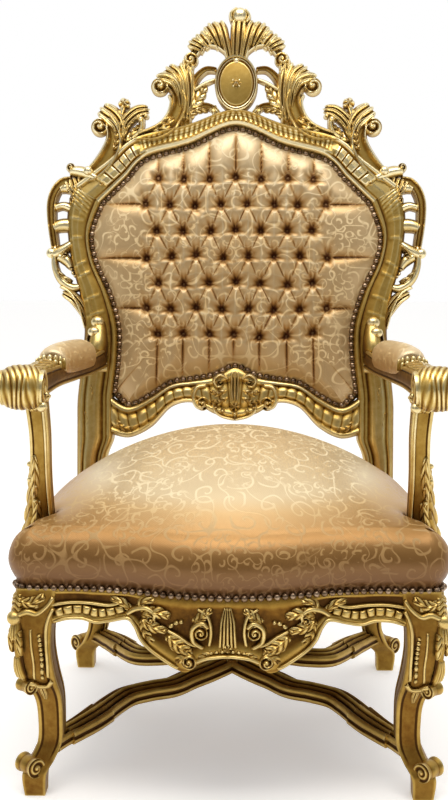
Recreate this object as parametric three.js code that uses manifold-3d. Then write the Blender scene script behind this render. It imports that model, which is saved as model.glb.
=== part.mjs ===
// A carved and gilded throne chair in the rococo manner: cabriole legs on an X-shaped stretcher, open
// scrolled arms, a buttoned back in a pierced, carved frame, and a domed sprung seat.
// Millimetres, +Z up, the front faces -Y. Pieces are built on the right (+X) and mirrored to the left.
import * as THREE from "three";
import { mergeVertices } from "three/addons/utils/BufferGeometryUtils.js";
import Module from "manifold-3d";

const wasm = await Module();
wasm.setup();

// Seat and rails
const seatFrontWidth = 752; // across the rails behind the front legs
const seatRearWidth = 676; // across the rear posts
const seatDepth = 552; // front of the seat to the front of the rear posts
const railTop = 385; // floor to the top of the seat rails
const sideRailHeight = 74;
const railThickness = 42;
const railSetback = 12; // front rail behind the front plane of the legs, at the corners
const frontBow = 50; // how far the front rail swells forward in the middle
const bowHalfWidth = 270; // half the width of that swell
const apronDrop = 133; // top of the front rail to the tips of its two pendants
const cushionRise = 213; // rail top to the crown of the seat
const cushionFall = 98; // how much lower the edge of its dome lies
const cushionOverhang = 10; // how far the upholstery swells past the rails
const cushionCorner = 34; // rounding of its front corners in plan
const crownSetback = 345; // front of the seat to the crown

// Legs and posts
const legWidth = 70; // front leg under the rail
const kneeSwell = 9; // how far the knee swells out and forward
const ankleWidth = 44;
const ankleInset = 14; // how far the ankle draws in and back
const footSwell = 13; // how far the foot turns out again
const footBlock = 37; // square of the block under each foot scroll
const footBlockHeight = 40;
const footScrollRadius = 18;
const postWidth = 60; // rear post, across the front
const rearSplay = 78; // how far the rear feet stand behind the rear rail's line
const rearFootOut = 27; // how far the rear feet turn out

// Arms
const armRearRise = 322; // rail top to the arm's axis at the rear post
const armFrontRise = 354; // rail top to the middle of the scrolled hand rest
const armWidth = 46;
const armThickness = 40;
const handRestRadius = 40;
const handRestWidth = 66;
const armPadLength = 275;
const armPadSetback = 205; // front of the seat to the front of the arm pad
const armPadWidth = 54;
const armPadThickness = 30;
const supportWidth = 40; // arm support, across the front
const supportSetback = 150; // front of the seat to the middle of its foot
const supportReach = 90; // how far it leans forward on its way up

// Stretcher
const stretcherWidth = 54;
const stretcherThickness = 36;
const stretcherLegHeight = 84; // middle of the rail where it meets a leg
const stretcherMeetHeight = 130; // middle of the rail where the four arms meet
const stretcherMeetSetback = 352; // front of the seat to the point where they meet

// Back
const rakeDegrees = 9; // lean of the back
const backWidth = 800; // across the pierced ears
const backHeight = 1053; // the back's own zero line to the top of the crest, along the back
const backSeatLine = 15; // that zero line lies this far above the rails
const frameDepth = 50; // thickness of the back frame at its inner edge
const frameFront = 12; // how far its inner edge stands in front of the back's plane
const padCrown = 42; // how far the buttoned pad swells in front of the back's plane
const coverThickness = 4; // upholstered board that closes the back from behind

// Nail heads and joints
const nailStrip = 9; // width of a row of nail heads
const nailRise = 4; // thickness of the heads
const jointGap = 0.3; // clearance between neighbouring pieces
const clothGap = 3; // clearance round the soft pieces where wood passes through them

const rake = THREE.MathUtils.degToRad(rakeDegrees);
const lean = new THREE.Matrix4()
  .makeRotationX(-rake)
  .setPosition(0, seatDepth + frameFront, railTop + backSeatLine);
const frameRear = frameDepth - frameFront;

// The carving of the back is drawn on a grid 800 wide and 1053 high, the apron on one 752 wide and 133
// deep; both are scaled to the sizes above.
const across = backWidth / 800;
const upward = backHeight / 1053;
const apronAcross = seatFrontWidth / 752;
const apronDown = apronDrop / 133;

// Sections of swept pieces, as shares of half the width and half the depth
const OCTAGON = [[1, -0.6], [1, 0.6], [0.6, 1], [-0.6, 1], [-1, 0.6], [-1, -0.6], [-0.6, -1], [0.6, -1]];
const STEM = [[-1, -1], [-0.5, 1], [0.5, 1], [1, -1]];
const LEAF = [[-1, -1], [0, 1], [1, -1]];
const REEDED = [[-1, -1], [-1, 0.3], [-0.45, 0.5], [0, 1], [0.45, 0.5], [1, 0.3], [1, -1]];
const PADDED = [[-0.9, -1], [-1, -0.2], [-0.65, 0.65], [0, 1], [0.65, 0.65], [1, -0.2], [0.9, -1]];

// Face of a moulded frame, as [share from the inner to the outer edge, height over the plane]
const FRAME_FACE = [[0, 12], [0.15, 21], [0.38, 15], [0.78, 21], [1, 4]];
// Face of a seat rail, as [share of its height from the top, swell]
const RAIL_FACE = [[0, -2], [0.12, 2], [0.24, -1], [0.66, -2], [0.85, 4], [1, 0]];

const FORWARD = new THREE.Vector3(0, -1, 0);
const UPWARD = new THREE.Vector3(0, 0, 1);
const SIDEWAYS = new THREE.Vector3(1, 0, 0);
const { lerp, clamp, degToRad } = THREE.MathUtils;

// Solids from geometry

function signedVolume(position, index) {
  const [a, b, c] = [0, 1, 2].map(() => new THREE.Vector3());
  let six = 0;
  for (let i = 0; i < index.length; i += 3) {
    a.fromArray(position, 3 * index[i]);
    b.fromArray(position, 3 * index[i + 1]);
    c.fromArray(position, 3 * index[i + 2]);
    six += a.dot(b.cross(c));
  }
  return six / 6;
}

// A surface through rings of equal length, facing outwards. Its ends are fanned shut, or joined to each
// other when the rings run round a loop.
function skin(rings, looped = false) {
  const count = rings[0].length;
  const position = rings.flat().flatMap((p) => p.toArray());
  const index = [];
  for (let r = 0; r < rings.length - (looped ? 0 : 1); r++) {
    const next = ((r + 1) % rings.length) * count;
    for (let i = 0; i < count; i++) {
      const j = (i + 1) % count;
      index.push(r * count + i, r * count + j, next + i);
      index.push(r * count + j, next + j, next + i);
    }
  }
  for (const r of looped ? [] : [0, rings.length - 1]) {
    const middle = new THREE.Vector3();
    rings[r].forEach((p) => middle.addScaledVector(p, 1 / count));
    const c = position.length / 3;
    position.push(...middle.toArray());
    for (let i = 0; i < count; i++) {
      const a = r * count + i;
      const b = r * count + ((i + 1) % count);
      index.push(...(r === 0 ? [c, b, a] : [c, a, b]));
    }
  }
  if (signedVolume(position, index) < 0) index.reverse();
  const geometry = new THREE.BufferGeometry();
  geometry.setAttribute("position", new THREE.Float32BufferAttribute(position, 3));
  return geometry.setIndex(index);
}

function solid(geometry) {
  const bare = geometry.clone();
  bare.deleteAttribute("normal");
  bare.deleteAttribute("uv");
  const merged = mergeVertices(bare, 1e-3);
  return new wasm.Manifold(new wasm.Mesh({
    numProp: 3,
    vertProperties: merged.getAttribute("position").array,
    triVerts: new Uint32Array(merged.index.array),
  }));
}

const joined = (geometries) => geometries.map(solid).reduce((whole, next) => whole.add(next));
const cut = (whole, geometries) => geometries.map(solid).reduce((left, next) => left.subtract(next), whole);

function mirrored(geometry) {
  const copy = geometry.clone().applyMatrix4(new THREE.Matrix4().makeScale(-1, 1, 1));
  copy.index.array.reverse();
  return copy;
}

const bothSides = (geometries) => geometries.concat(geometries.map(mirrored));

// A smooth curve through rows of numbers, so that sizes flow along with the path
function smoothRow(rows, t) {
  const at = clamp(t, 0, 1) * (rows.length - 1);
  const i = Math.min(Math.floor(at), rows.length - 2);
  const f = at - i;
  const row = (k) => rows[clamp(k, 0, rows.length - 1)];
  return rows[0].map((_, k) => {
    const start = (row(i + 1)[k] - row(i - 1)[k]) / 2;
    const end = (row(i + 2)[k] - row(i)[k]) / 2;
    return (2 * f ** 3 - 3 * f ** 2 + 1) * row(i)[k] + (f ** 3 - 2 * f ** 2 + f) * start
      + (3 * f ** 2 - 2 * f ** 3) * row(i + 1)[k] + (f ** 3 - f ** 2) * end;
  });
}

// A section carried along rows of [x, y, z, width, depth]; its depth points along the facing vector
function sweep(rows, section, facing, steps, grow = 0) {
  const rings = [];
  for (let i = 0; i <= steps; i++) {
    const t = i / steps;
    const [x, y, z, width, depth] = smoothRow(rows, t);
    const along = new THREE.Vector3(...smoothRow(rows, t + 0.01))
      .sub(new THREE.Vector3(...smoothRow(rows, t - 0.01)));
    const side = new THREE.Vector3().crossVectors(along, facing).normalize();
    const out = new THREE.Vector3().crossVectors(side, along).normalize();
    rings.push(section.map(([a, b]) => new THREE.Vector3(x, y, z)
      .addScaledVector(side, a * (width / 2 + grow))
      .addScaledVector(out, b * (depth / 2 + grow))));
  }
  return skin(rings);
}

// Level sections stacked through rows of [x, y, z, width, depth], for legs and posts
function stack(rows, steps, grow = 0) {
  const rings = [];
  for (let i = 0; i <= steps; i++) {
    const [x, y, z, width, depth] = smoothRow(rows, i / steps);
    rings.push(OCTAGON.map(([a, b]) => (
      new THREE.Vector3(x + a * (width / 2 + grow), y + b * (depth / 2 + grow), z))));
  }
  return skin(rings);
}

const ball = (centre, radius) => new THREE.SphereGeometry(radius, 6, 4).translate(...centre);

// A drum whose axis lies along the given direction, for scrolled ends
function drum(centre, direction, radius, length) {
  const turn = new THREE.Quaternion()
    .setFromUnitVectors(new THREE.Vector3(0, 1, 0), new THREE.Vector3(...direction).normalize());
  return new THREE.CylinderGeometry(radius, radius, length, 10).applyQuaternion(turn).translate(...centre);
}

function block(low, high) {
  const size = high.map((h, k) => h - low[k]);
  return new THREE.BoxGeometry(...size).translate(...low.map((l, k) => l + size[k] / 2));
}

// A closed plan outline moved outwards along its normals
function outset(points, distance) {
  const count = points.length;
  return points.map(([x, y], i) => {
    const [px, py] = points[(i + count - 1) % count];
    const [nx, ny] = points[(i + 1) % count];
    const normal = new THREE.Vector2(y - py, px - x).normalize()
      .add(new THREE.Vector2(ny - y, x - nx).normalize()).normalize();
    return [x + normal.x * distance, y + normal.y * distance];
  });
}

// A half outline that starts and ends on the middle line, completed with its mirror image
const closedOutline = (half) => half.concat(half.slice(1, -1).reverse().map(([x, y]) => [-x, y]));

// Plan of the seat

const halfFront = seatFrontWidth / 2;
const halfRear = seatRearWidth / 2;
const halfWidthAt = (y) => lerp(halfFront, halfRear, y / seatDepth);
const seatRear = seatDepth - 2 * clothGap;

function railFaceAt(x) {
  const share = Math.min(1, Math.abs(x) / bowHalfWidth);
  return railSetback - (frontBow * (1 + Math.cos(Math.PI * share))) / 2;
}

function seatPlan() {
  const half = [];
  for (let i = 0; i <= 7; i++) {
    const x = ((halfFront - cushionCorner) * i) / 7;
    half.push([x, railFaceAt(x)]);
  }
  for (const degrees of [35, 70]) {
    half.push([
      halfFront - cushionCorner * (1 - Math.sin(degToRad(degrees))),
      railSetback + cushionCorner * (1 - Math.cos(degToRad(degrees))),
    ]);
  }
  for (let i = 0; i <= 3; i++) {
    const y = lerp(railSetback + cushionCorner, seatRear, i / 3);
    half.push([halfWidthAt(y), y]);
  }
  half.push([halfRear / 2, seatRear], [0, seatRear]);
  return closedOutline(half);
}

// Front legs: the knee swells out to the corner, the ankle draws back in, and the foot rolls into a
// scroll over a small block

const legX = halfFront - kneeSwell - legWidth / 2;
const legY = kneeSwell + legWidth / 2;
const corner = (out, z, aside = 0) => [legX + out + aside, legY - out + aside, z];

function frontLegBody(grow) {
  return stack([
    [footSwell, 0, footBlock],
    [footSwell, footBlockHeight, footBlock + 6],
    [0, footBlockHeight * 1.6, ankleWidth],
    [-ankleInset + 2, railTop * 0.24, ankleWidth],
    [-ankleInset, railTop * 0.34, ankleWidth],
    [-ankleInset + 3, railTop * 0.46, ankleWidth + 4],
    [3, railTop * 0.58, legWidth - 8],
    [kneeSwell, railTop * 0.7, legWidth - 6],
    [kneeSwell - 1, railTop * 0.82, legWidth - 4],
    [0, railTop, legWidth],
  ].map(([out, z, width]) => [...corner(out, z), width, width]), 11, grow);
}

function frontLeg() {
  const face = legWidth / 2;
  const lobe = (aside) => sweep([
    [...corner(face - 7, railTop * 0.84, aside * 0.7), 20, 18],
    [...corner(face - 3, railTop * 0.74, aside), 24, 18],
    [...corner(face - 9, railTop * 0.6, aside * 0.5), 10, 12],
  ], LEAF, new THREE.Vector3(1, -1, 0), 3);
  return joined([
    frontLegBody(0),
    drum(corner(footSwell + 9, footBlockHeight + 13), [1, 1, 0], footScrollRadius, footBlock + 4),
    drum(corner(face - 14, railTop * 0.53), [1, 1, 0], 13, legWidth * 0.5),
    ball(corner(face - 4, railTop * 0.87), 11),
    lobe(-11),
    lobe(11),
  ]);
}

// Seat rails

// A rail through stations of [x, y, height], its moulded face towards the outward vector
function rail(stations, outward, thickness) {
  return skin(stations.map(([x, y, height]) => {
    const at = (share, swell) => (
      new THREE.Vector3(x, y, railTop - height * share).addScaledVector(outward, swell));
    return [...RAIL_FACE.map(([share, swell]) => at(share, swell)), at(1, -thickness), at(0, -thickness)];
  }));
}

const apron = (rows) => rows.map(([x, down, ...rest]) => [x * apronAcross, down * apronDown, ...rest]);

// Lower edge of the apron, as [from the middle, below the rail's top]
const APRON_EDGE = apron([[0, 104], [31, 108], [54, 120], [70, 133], [86, 131], [105, 119], [131, 100],
  [146, 81], [157, 61], [173, 50], [210, 58], [232, 62], [256, 55], [285, 56], [308, 64], [340, 66]]);

// A carved stroke on the bowed face of the apron, as rows of [from the middle, below the top, width]
function apronStroke(rows, section, front, steps) {
  const back = 12;
  const path = apron(rows).map(([x, down, width]) => (
    [x, railFaceAt(x) - (front - back) / 2, railTop - down, width, front + back]));
  return sweep(path, section, FORWARD, steps);
}

const apronBoss = (x, down, radius) => (
  ball([x * apronAcross, railFaceAt(x * apronAcross) - 3, railTop - down * apronDown], radius));

function frontRail() {
  const steps = 11;
  const half = Array.from({ length: steps + 1 }, (_, i) => smoothRow(APRON_EDGE, i / steps));
  const stations = half.slice(1).reverse().map(([x, down]) => [-x, railFaceAt(x), down])
    .concat(half.map(([x, down]) => [x, railFaceAt(x), down]));
  const carving = bothSides([
    apronStroke([[306, 56, 16], [250, 44, 18], [174, 40, 16], [138, 76, 16], [102, 110, 20], [70, 122, 22],
      [48, 106, 16]], LEAF, 11, 7),
    apronStroke([[150, 30, 18], [118, 34, 24], [86, 52, 26], [70, 84, 20]], LEAF, 13, 3),
    apronStroke([[28, 100, 12], [34, 62, 22], [52, 30, 6]], LEAF, 16, 2),
    apronBoss(67, 98, 14),
  ]);
  const shell = apronStroke([[0, 106, 14], [0, 64, 26], [0, 24, 8]], LEAF, 18, 2);
  const whole = joined([rail(stations, FORWARD, railThickness), ...carving, shell]);
  return cut(whole, bothSides([frontLegBody(jointGap)]));
}

function sideRail() {
  const tenon = 8;
  const [from, to] = [legY + legWidth / 2 - tenon, rearLegCentre()[1] - frameDepth / 2 + tenon];
  const stations = [0, 0.12, 0.3, 0.5, 0.7, 0.88, 1].map((share) => {
    const y = lerp(from, to, share);
    return [halfWidthAt(y), y, sideRailHeight * (1 - 0.16 * Math.sin(Math.PI * share))];
  });
  const whole = joined([rail(stations, SIDEWAYS, railThickness)]);
  return cut(whole, [frontLegBody(jointGap), rearLegBody(jointGap)]);
}

function rearRail() {
  const [x, y] = rearLegCentre();
  const stations = [-x, 0, x].map((at) => [at, y + railThickness / 2 - 2, sideRailHeight]);
  const sideRails = block([halfRear - railThickness - 4, 0, 0], [halfFront, y + frameDepth, railTop + 1]);
  return cut(
    joined([rail(stations, new THREE.Vector3(0, 1, 0), railThickness - 4)]),
    bothSides([rearLegBody(jointGap), sideRails]),
  );
}

// The back, drawn as [from the middle, up the back, height in front of its plane]

const backPoint = (u, v, w) => new THREE.Vector3(u, -w, v).applyMatrix4(lean);
const drawn = (rows) => rows.map(([u, v, ...rest]) => [u * across, v * upward, ...rest]);

// Outlines of the upholstered panel and of the frame round it, right half
const PANEL_SIDE = drawn([[289, 640], [312, 575], [304, 515], [274, 447], [254, 375], [254, 305],
  [262, 235], [262, 205], [262, 175], [262, 150], [263, 132]]);
const STILE_EDGE = drawn([[350, 676], [361, 605], [352, 515], [334, 447], [323, 375], [328, 305],
  [336, 235], [338, 205], [338, 175], [338, 150], [338, 132]]);
const PANEL_TOP = drawn([[289, 640], [236, 692], [193, 735], [100, 763], [0, 802]]);
const CREST_EDGE = drawn([[350, 676], [276, 730], [214, 780], [104, 806], [0, 838]]);
const PANEL_FOOT = drawn([[0, 287], [45, 268], [90, 260], [137, 252], [180, 225], [228, 204], [268, 226]]);
const LOWER_EDGE = drawn([[0, 176], [45, 190], [90, 213], [137, 203], [180, 160], [225, 138], [268, 146]]);

const FRAME_STEPS = 6; // the frame and the panel inside it share these steps
const SIDE_STEPS = 10;

// A moulded frame between two of these curves, flat behind
function moulding(inner, outer, steps) {
  const rings = [];
  for (let i = 0; i <= steps; i++) {
    const a = smoothRow(inner, i / steps);
    const b = smoothRow(outer, i / steps);
    const at = (share, w) => backPoint(lerp(a[0], b[0], share), lerp(a[1], b[1], share), w);
    rings.push([...FRAME_FACE.map(([share, w]) => at(share, w)), at(1, -frameRear), at(0, -frameRear)]);
  }
  return skin(rings);
}

// A carved stroke in the plane of the back, as rows of [from the middle, up, width]
function stroke(rows, section, front, steps, back = 16) {
  const path = drawn(rows).map(([u, v, width]) => [u, (back - front) / 2, v, width, front + back]);
  return sweep(path, section, FORWARD, steps).applyMatrix4(lean);
}

const boss = (u, v, radius, forward) => ball([u * across, -forward, v * upward], radius).applyMatrix4(lean);

// Half of all space on one side of the joint between a post's shoulder and the crest rail, which runs
// across the frame at the corner of the panel
function besideShoulder(above) {
  const reach = 1400;
  const [from, to] = [PANEL_SIDE[0], STILE_EDGE[0]];
  return new THREE.BoxGeometry(reach, reach, reach)
    .translate(0, 0, ((above ? 1 : -1) * (reach - jointGap)) / 2)
    .rotateY(-Math.atan2(to[1] - from[1], to[0] - from[0]))
    .translate(from[0], 0, from[1])
    .applyMatrix4(lean);
}

// Rear posts: one timber from the foot to the shoulder of the back, with the pierced ear carved on it

const postX = halfRear - postWidth / 2;
const postPlane = frameFront - frameDepth / 2;
const shoulderFoot = 200 * upward;
const armHeight = (armRearRise - backSeatLine) / Math.cos(rake);
const armBossRise = frameFront + 14;

function rearLegCentre() {
  return backPoint(postX, -backSeatLine - sideRailHeight, postPlane).toArray();
}

function rearFoot() {
  const [x, y] = rearLegCentre();
  return [x + rearFootOut, y + rearSplay];
}

function rearLegBody(grow) {
  const [x, y] = rearLegCentre();
  const foot = rearFoot();
  const axis = (v) => backPoint(postX, v, postPlane).toArray();
  return stack([
    [...foot, 0, footBlock, footBlock],
    [...foot, footBlockHeight, footBlock + 6, footBlock + 6],
    [x + 8, y + rearSplay * 0.8, footBlockHeight * 1.7, ankleWidth, ankleWidth],
    [x - 8, y + rearSplay * 0.55, railTop * 0.31, ankleWidth, ankleWidth],
    [x - 6, y + rearSplay * 0.3, railTop * 0.5, ankleWidth + 6, frameDepth - 2],
    [x, y + 4, railTop - sideRailHeight, postWidth, frameDepth],
    [...axis(0), postWidth, frameDepth],
    [...axis(shoulderFoot * 0.6), postWidth, frameDepth],
    [...axis(shoulderFoot), postWidth, frameDepth],
  ], 12, grow);
}

function rearPost() {
  const [footX, footY] = rearFoot();
  const ear = [
    stroke([[366, 684, 18], [386, 660, 25], [391, 618, 26], [388, 572, 20], [386, 538, 12]], STEM, 16, 5),
    stroke([[386, 545, 12], [388, 508, 15], [374, 474, 17], [346, 456, 18], [322, 468, 12]], STEM, 12, 5),
    stroke([[374, 449, 6], [352, 436, 20], [336, 412, 18], [322, 380, 8]], LEAF, 18, 3),
    stroke([[350, 660, 18], [368, 676, 20]], LEAF, 14, 1),
    ...[634, 593, 548].map((v) => stroke([[345, v - 4, 14], [388, v, 14]], LEAF, 12, 1)),
    stroke([[346, 524, 14], [392, 531, 14]], LEAF, 14, 1),
    boss(393, 531, 11, 4),
  ];
  const low = armHeight / upward - 34;
  const armBoss = stroke([[292, low, 44], [292, low + 68, 44]], STEM, armBossRise, 1, frameRear - 4);
  const foot = drum(
    [footX + 8, footY + 8, footBlockHeight + 13],
    [1, -1, 0],
    footScrollRadius,
    footBlock + 4,
  );
  const whole = joined([moulding(PANEL_SIDE, STILE_EDGE, SIDE_STEPS), rearLegBody(0), foot, armBoss, ...ear]);
  return cut(whole, [besideShoulder(true)]);
}

// Lower rail of the back: a moulded frame with a shell in the middle and a scroll on each side of it
function lowerBackRail() {
  const carving = bothSides([
    moulding(PANEL_FOOT, LOWER_EDGE, FRAME_STEPS),
    boss(70, 214, 14, 12),
    stroke([[0, 240, 16], [20, 220, 18], [32, 196, 6]], LEAF, 28, 3),
  ]);
  const shell = stroke([[0, 262, 16], [0, 220, 22], [0, 178, 14]], LEAF, 30, 3);
  const beyond = block([262 * across - jointGap, -200, 0], [backWidth, 200, 400]).applyMatrix4(lean);
  return cut(joined([...carving, shell]), bothSides([beyond, rearLegBody(jointGap)]));
}

// Crest rail: the top of the frame and the pierced carving over it, cut from one board

// Great scrolls and leaves on either side, right half
function crestScrolls() {
  return [
    stroke([[214, 780, 20], [172, 784, 32], [138, 806, 38], [120, 846, 38], [127, 878, 30], [150, 896, 20]],
      STEM, 24, 6),
    boss(163, 887, 18, 12),
    stroke([[322, 676, 20], [296, 702, 34], [268, 732, 40], [258, 768, 38], [264, 800, 28], [282, 816, 16]],
      STEM, 24, 6),
    boss(291, 800, 18, 12),
    stroke([[250, 740, 22], [248, 790, 24], [262, 828, 22], [299, 844, 8]], LEAF, 27, 2),
    stroke([[246, 790, 16], [228, 826, 20], [184, 840, 8]], LEAF, 20, 2),
    stroke([[112, 826, 22], [108, 890, 24], [120, 941, 8]], LEAF, 20, 2),
    stroke([[116, 850, 20], [122, 900, 24], [147, 931, 8]], LEAF, 23, 2),
    stroke([[120, 870, 20], [142, 905, 24], [173, 903, 8]], LEAF, 26, 2),
    stroke([[316, 678, 22], [336, 694, 26], [364, 700, 16]], LEAF, 18, 2),
    stroke([[340, 692, 18], [351, 726, 12]], LEAF, 12, 1),
  ];
}

// The pierced cresting that holds the medallion, right half
function crestCentre() {
  return [
    stroke([[106, 800, 24], [101, 860, 20], [88, 904, 16], [42, 924, 12]], LEAF, 14, 4),
    stroke([[104, 816, 18], [74, 848, 14], [50, 852, 12], [24, 800, 14]], LEAF, 12, 3),
    stroke([[98, 896, 16], [99, 958, 26]], LEAF, 12, 1),
    stroke([[97, 952, 20], [72, 978, 22], [28, 966, 22], [0, 948, 20]], LEAF, 16, 4),
    stroke([[72, 966, 24], [98, 996, 6]], LEAF, 20, 1),
    stroke([[40, 962, 20], [58, 994, 22], [64, 1018, 6]], LEAF, 22, 2),
    stroke([[14, 945, 18], [20, 985, 20], [34, 1016, 6]], LEAF, 24, 2),
  ];
}

// An oval boss with a raised rim round a plain field
function medallion() {
  const rise = 16;
  const profile = [[1, -14], [1, rise], [0.9, rise + 6], [0.8, rise], [0.45, rise + 5]];
  return skin(profile.map(([share, w]) => Array.from({ length: 16 }, (_, i) => {
    const angle = (2 * Math.PI * i) / 16;
    return backPoint(46 * across * share * Math.cos(angle), (892 + 61 * share * Math.sin(angle)) * upward, w);
  })));
}

function crestRail() {
  const knobRadius = 17;
  const middle = [
    medallion(),
    stroke([[0, 940, 26], [2, 990, 28], [6, 1026, 24]], LEAF, 24, 3),
    boss(7, 1053 - knobRadius / upward, knobRadius, 8),
  ];
  const frame = moulding(PANEL_TOP, CREST_EDGE, FRAME_STEPS);
  const carving = bothSides([frame, ...crestScrolls(), ...crestCentre()]);
  return cut(joined([...carving, ...middle]), bothSides([besideShoulder(false)]));
}

// Upholstery of the back

const stretch = (rows, from, to, steps) => (
  Array.from({ length: steps }, (_, i) => smoothRow(rows, lerp(from, to, i / steps))));

function panelPlan() {
  return closedOutline([
    ...stretch(PANEL_FOOT, 0, 1, FRAME_STEPS).slice(0, -1),
    ...stretch([...PANEL_SIDE].reverse(), 0, 1, SIDE_STEPS).slice(0.4 * SIDE_STEPS),
    ...stretch(PANEL_TOP, 0, 1, FRAME_STEPS),
    PANEL_TOP[PANEL_TOP.length - 1],
  ]);
}

const panelMiddle = 520 * upward;

// The panel's outline drawn in by a distance and then by a share towards its middle, at one height
function panelRing(inset, share, w) {
  return outset(panelPlan(), -inset).map(([u, v]) => backPoint(u * share, lerp(panelMiddle, v, share), w));
}

const rebate = frameFront - nailRise - 2;

function backPad() {
  const inset = nailStrip + 4;
  return joined([skin([
    panelRing(1, 1, -frameRear),
    panelRing(1, 1, rebate),
    panelRing(nailStrip + 2, 1, rebate),
    panelRing(inset, 0.98, rebate + 16),
    panelRing(inset, 0.87, padCrown - 6),
    panelRing(inset, 0.3, padCrown),
  ])]);
}

function backNailRow() {
  const low = rebate + jointGap;
  const profile = [[1.5, low], [3, low + nailRise], [nailStrip - 1, low + nailRise], [nailStrip + 0.5, low]];
  return joined([skin(profile.map(([inset, w]) => panelRing(inset, 1, w)), true)]);
}

function backCover() {
  const front = -frameRear - jointGap;
  return joined([skin([panelRing(-8, 1, front), panelRing(-8, 1, front - coverThickness)])]);
}

// Arms

const handRest = [legX + legWidth / 2 - 22, kneeSwell - 8, railTop + armFrontRise];

function armRows() {
  const end = backPoint(292 * across, armHeight, 0).toArray();
  const at = (share, lift, width, depth) => (
    [...handRest.map((start, k) => lerp(start, end[k], share) + (k === 2 ? lift : 0)), width, depth]);
  return [
    at(0, 0, armWidth + 6, armThickness + 12),
    at(0.25, 3, armWidth, armThickness),
    at(0.5, 1, armWidth, armThickness),
    at(0.75, -3, armWidth, armThickness - 2),
    at(1, 0, armWidth, armThickness + 2),
  ];
}

const armBody = (grow) => sweep(armRows(), OCTAGON, UPWARD, 6, grow);

// A row of the arm beside a share of its pad's length, with a lift and a section of its own
function besidePad(share, lift, width, depth) {
  const rows = armRows();
  const [first, last] = [rows[0][1], rows[rows.length - 1][1]];
  const [x, y, z] = smoothRow(rows, (armPadSetback + share * armPadLength - first) / (last - first));
  return [x, y, z + armThickness / 2 + lift, width, depth];
}

// A ribbed roll lying across the end of the arm
function handScroll() {
  const ribs = [[0.72, -1], [0.95, -0.78], [0.82, -0.5], [1.04, 0], [0.82, 0.5], [0.95, 0.78], [0.72, 1]];
  const profile = ribs.map(([r, a]) => new THREE.Vector2(r * handRestRadius, (a * handRestWidth) / 2));
  profile.unshift(new THREE.Vector2(0, -handRestWidth / 2));
  profile.push(new THREE.Vector2(0, handRestWidth / 2));
  return new THREE.LatheGeometry(profile, 10).rotateZ(-Math.PI / 2).translate(...handRest);
}

function arm() {
  const reach = backHeight;
  const behind = new THREE.BoxGeometry(backWidth, reach, reach)
    .translate(0, reach / 2 - armBossRise - jointGap, reach / 2)
    .applyMatrix4(lean);
  const leaf = sweep([
    besidePad(-0.24, -6, 20, 12),
    besidePad(-0.13, 2, 38, 16),
    besidePad(-0.03, 8, 44, 26),
  ], LEAF, UPWARD, 3);
  return cut(joined([armBody(0), handScroll(), leaf]), [behind]);
}

function armPad() {
  const rows = [[0, 0.8, 0.6], [0.1, 0.94, 0.95], [0.35, 1, 1.05], [0.65, 1, 1.05], [0.9, 0.94, 0.95],
    [1, 0.8, 0.6]].map(([share, width, thickness]) => (
    besidePad(share, jointGap + (armPadThickness * thickness) / 2, armPadWidth * width,
      armPadThickness * thickness)));
  return cut(joined([sweep(rows, PADDED, UPWARD, 8)]), [armBody(jointGap)]);
}

// Arm supports: each stands on a side rail, leans forward in an S and carries the arm

function supportRows() {
  const x = halfWidthAt(supportSetback) - 9 - supportWidth / 2;
  const top = railTop + armFrontRise;
  const at = (share, back, inward, width) => (
    [x - inward, supportSetback - supportReach * back, lerp(railTop + jointGap, top, share), width, width]);
  return [
    at(0, 0, 0, supportWidth),
    at(0.2, 0.1, 0, supportWidth - 4),
    at(0.5, 0.62, 4, supportWidth - 6),
    at(0.75, 0.92, 8, supportWidth - 6),
    at(1, 1, 2, supportWidth),
  ];
}

function supportShapes(grow) {
  const [x, y] = supportRows()[0];
  const leaf = [
    [x + 14, y - 4, railTop + 22, 34, 22],
    [x + 27, y - 6, railTop + 62, 30, 18],
    [x + 18, y - 34, railTop + 120, 22, 18],
    [x + 4, y - 60, railTop + 170, 10, 14],
  ];
  return [
    stack(supportRows(), 7, grow),
    sweep(leaf, LEAF, SIDEWAYS, 3, grow),
  ];
}

const armSupport = () => cut(joined(supportShapes(0)), [armBody(jointGap)]);

// Seat

// Crown of the seat: it falls away evenly to the front and sides and less towards the back
function crownAt(x, y, share) {
  const rearward = clamp((y - crownSetback) / (seatRear - crownSetback), 0, 1);
  const kept = 0.55 * rearward * (1 - (x / halfFront) ** 2);
  return cushionRise - cushionFall * (1 - kept) * share ** 2;
}

function seatCushion() {
  const side = ([distance, share, lift]) => outset(seatPlan(), distance)
    .map(([x, y]) => new THREE.Vector3(x, y, railTop + lift + crownAt(x, y, 1) * share));
  const dome = (share) => outset(seatPlan(), -10).map(([x, y]) => {
    const [cx, cy] = [x * share, lerp(crownSetback, y, share)];
    return new THREE.Vector3(cx, cy, railTop + crownAt(cx, cy, share));
  });
  const inset = -nailRise - 1;
  const rings = [
    ...[[inset, 0, jointGap], [inset, 0, nailStrip + 3], [0, 0, nailStrip + 7], [cushionOverhang, 0.4, 0],
      [cushionOverhang - 2, 0.7, 0], [-1, 0.94, 0]].map(side),
    ...[0.94, 0.74, 0.45, 0.04].map(dome),
  ];
  return cut(joined([skin(rings)]), bothSides([...supportShapes(clothGap), rearLegBody(clothGap)]));
}

function seatNailRow() {
  const plan = seatPlan();
  const middle = plan.length / 2;
  const path = (distance) => {
    const ring = outset(plan, distance);
    return [...ring.slice(middle + 2), ...ring.slice(0, middle - 1)];
  };
  const profile = [[-nailRise - 0.6, 1], [-0.6, 3], [-0.6, nailStrip - 1], [-nailRise - 0.6, nailStrip + 1]];
  const lines = profile.map(([distance, lift]) => (
    path(distance).map(([x, y]) => new THREE.Vector3(x, y, railTop + lift))));
  return joined([skin(lines[0].map((_, i) => lines.map((line) => line[i])))]);
}

// Stretcher: four serpentine arms from the ankles, mitred together in the middle

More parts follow.
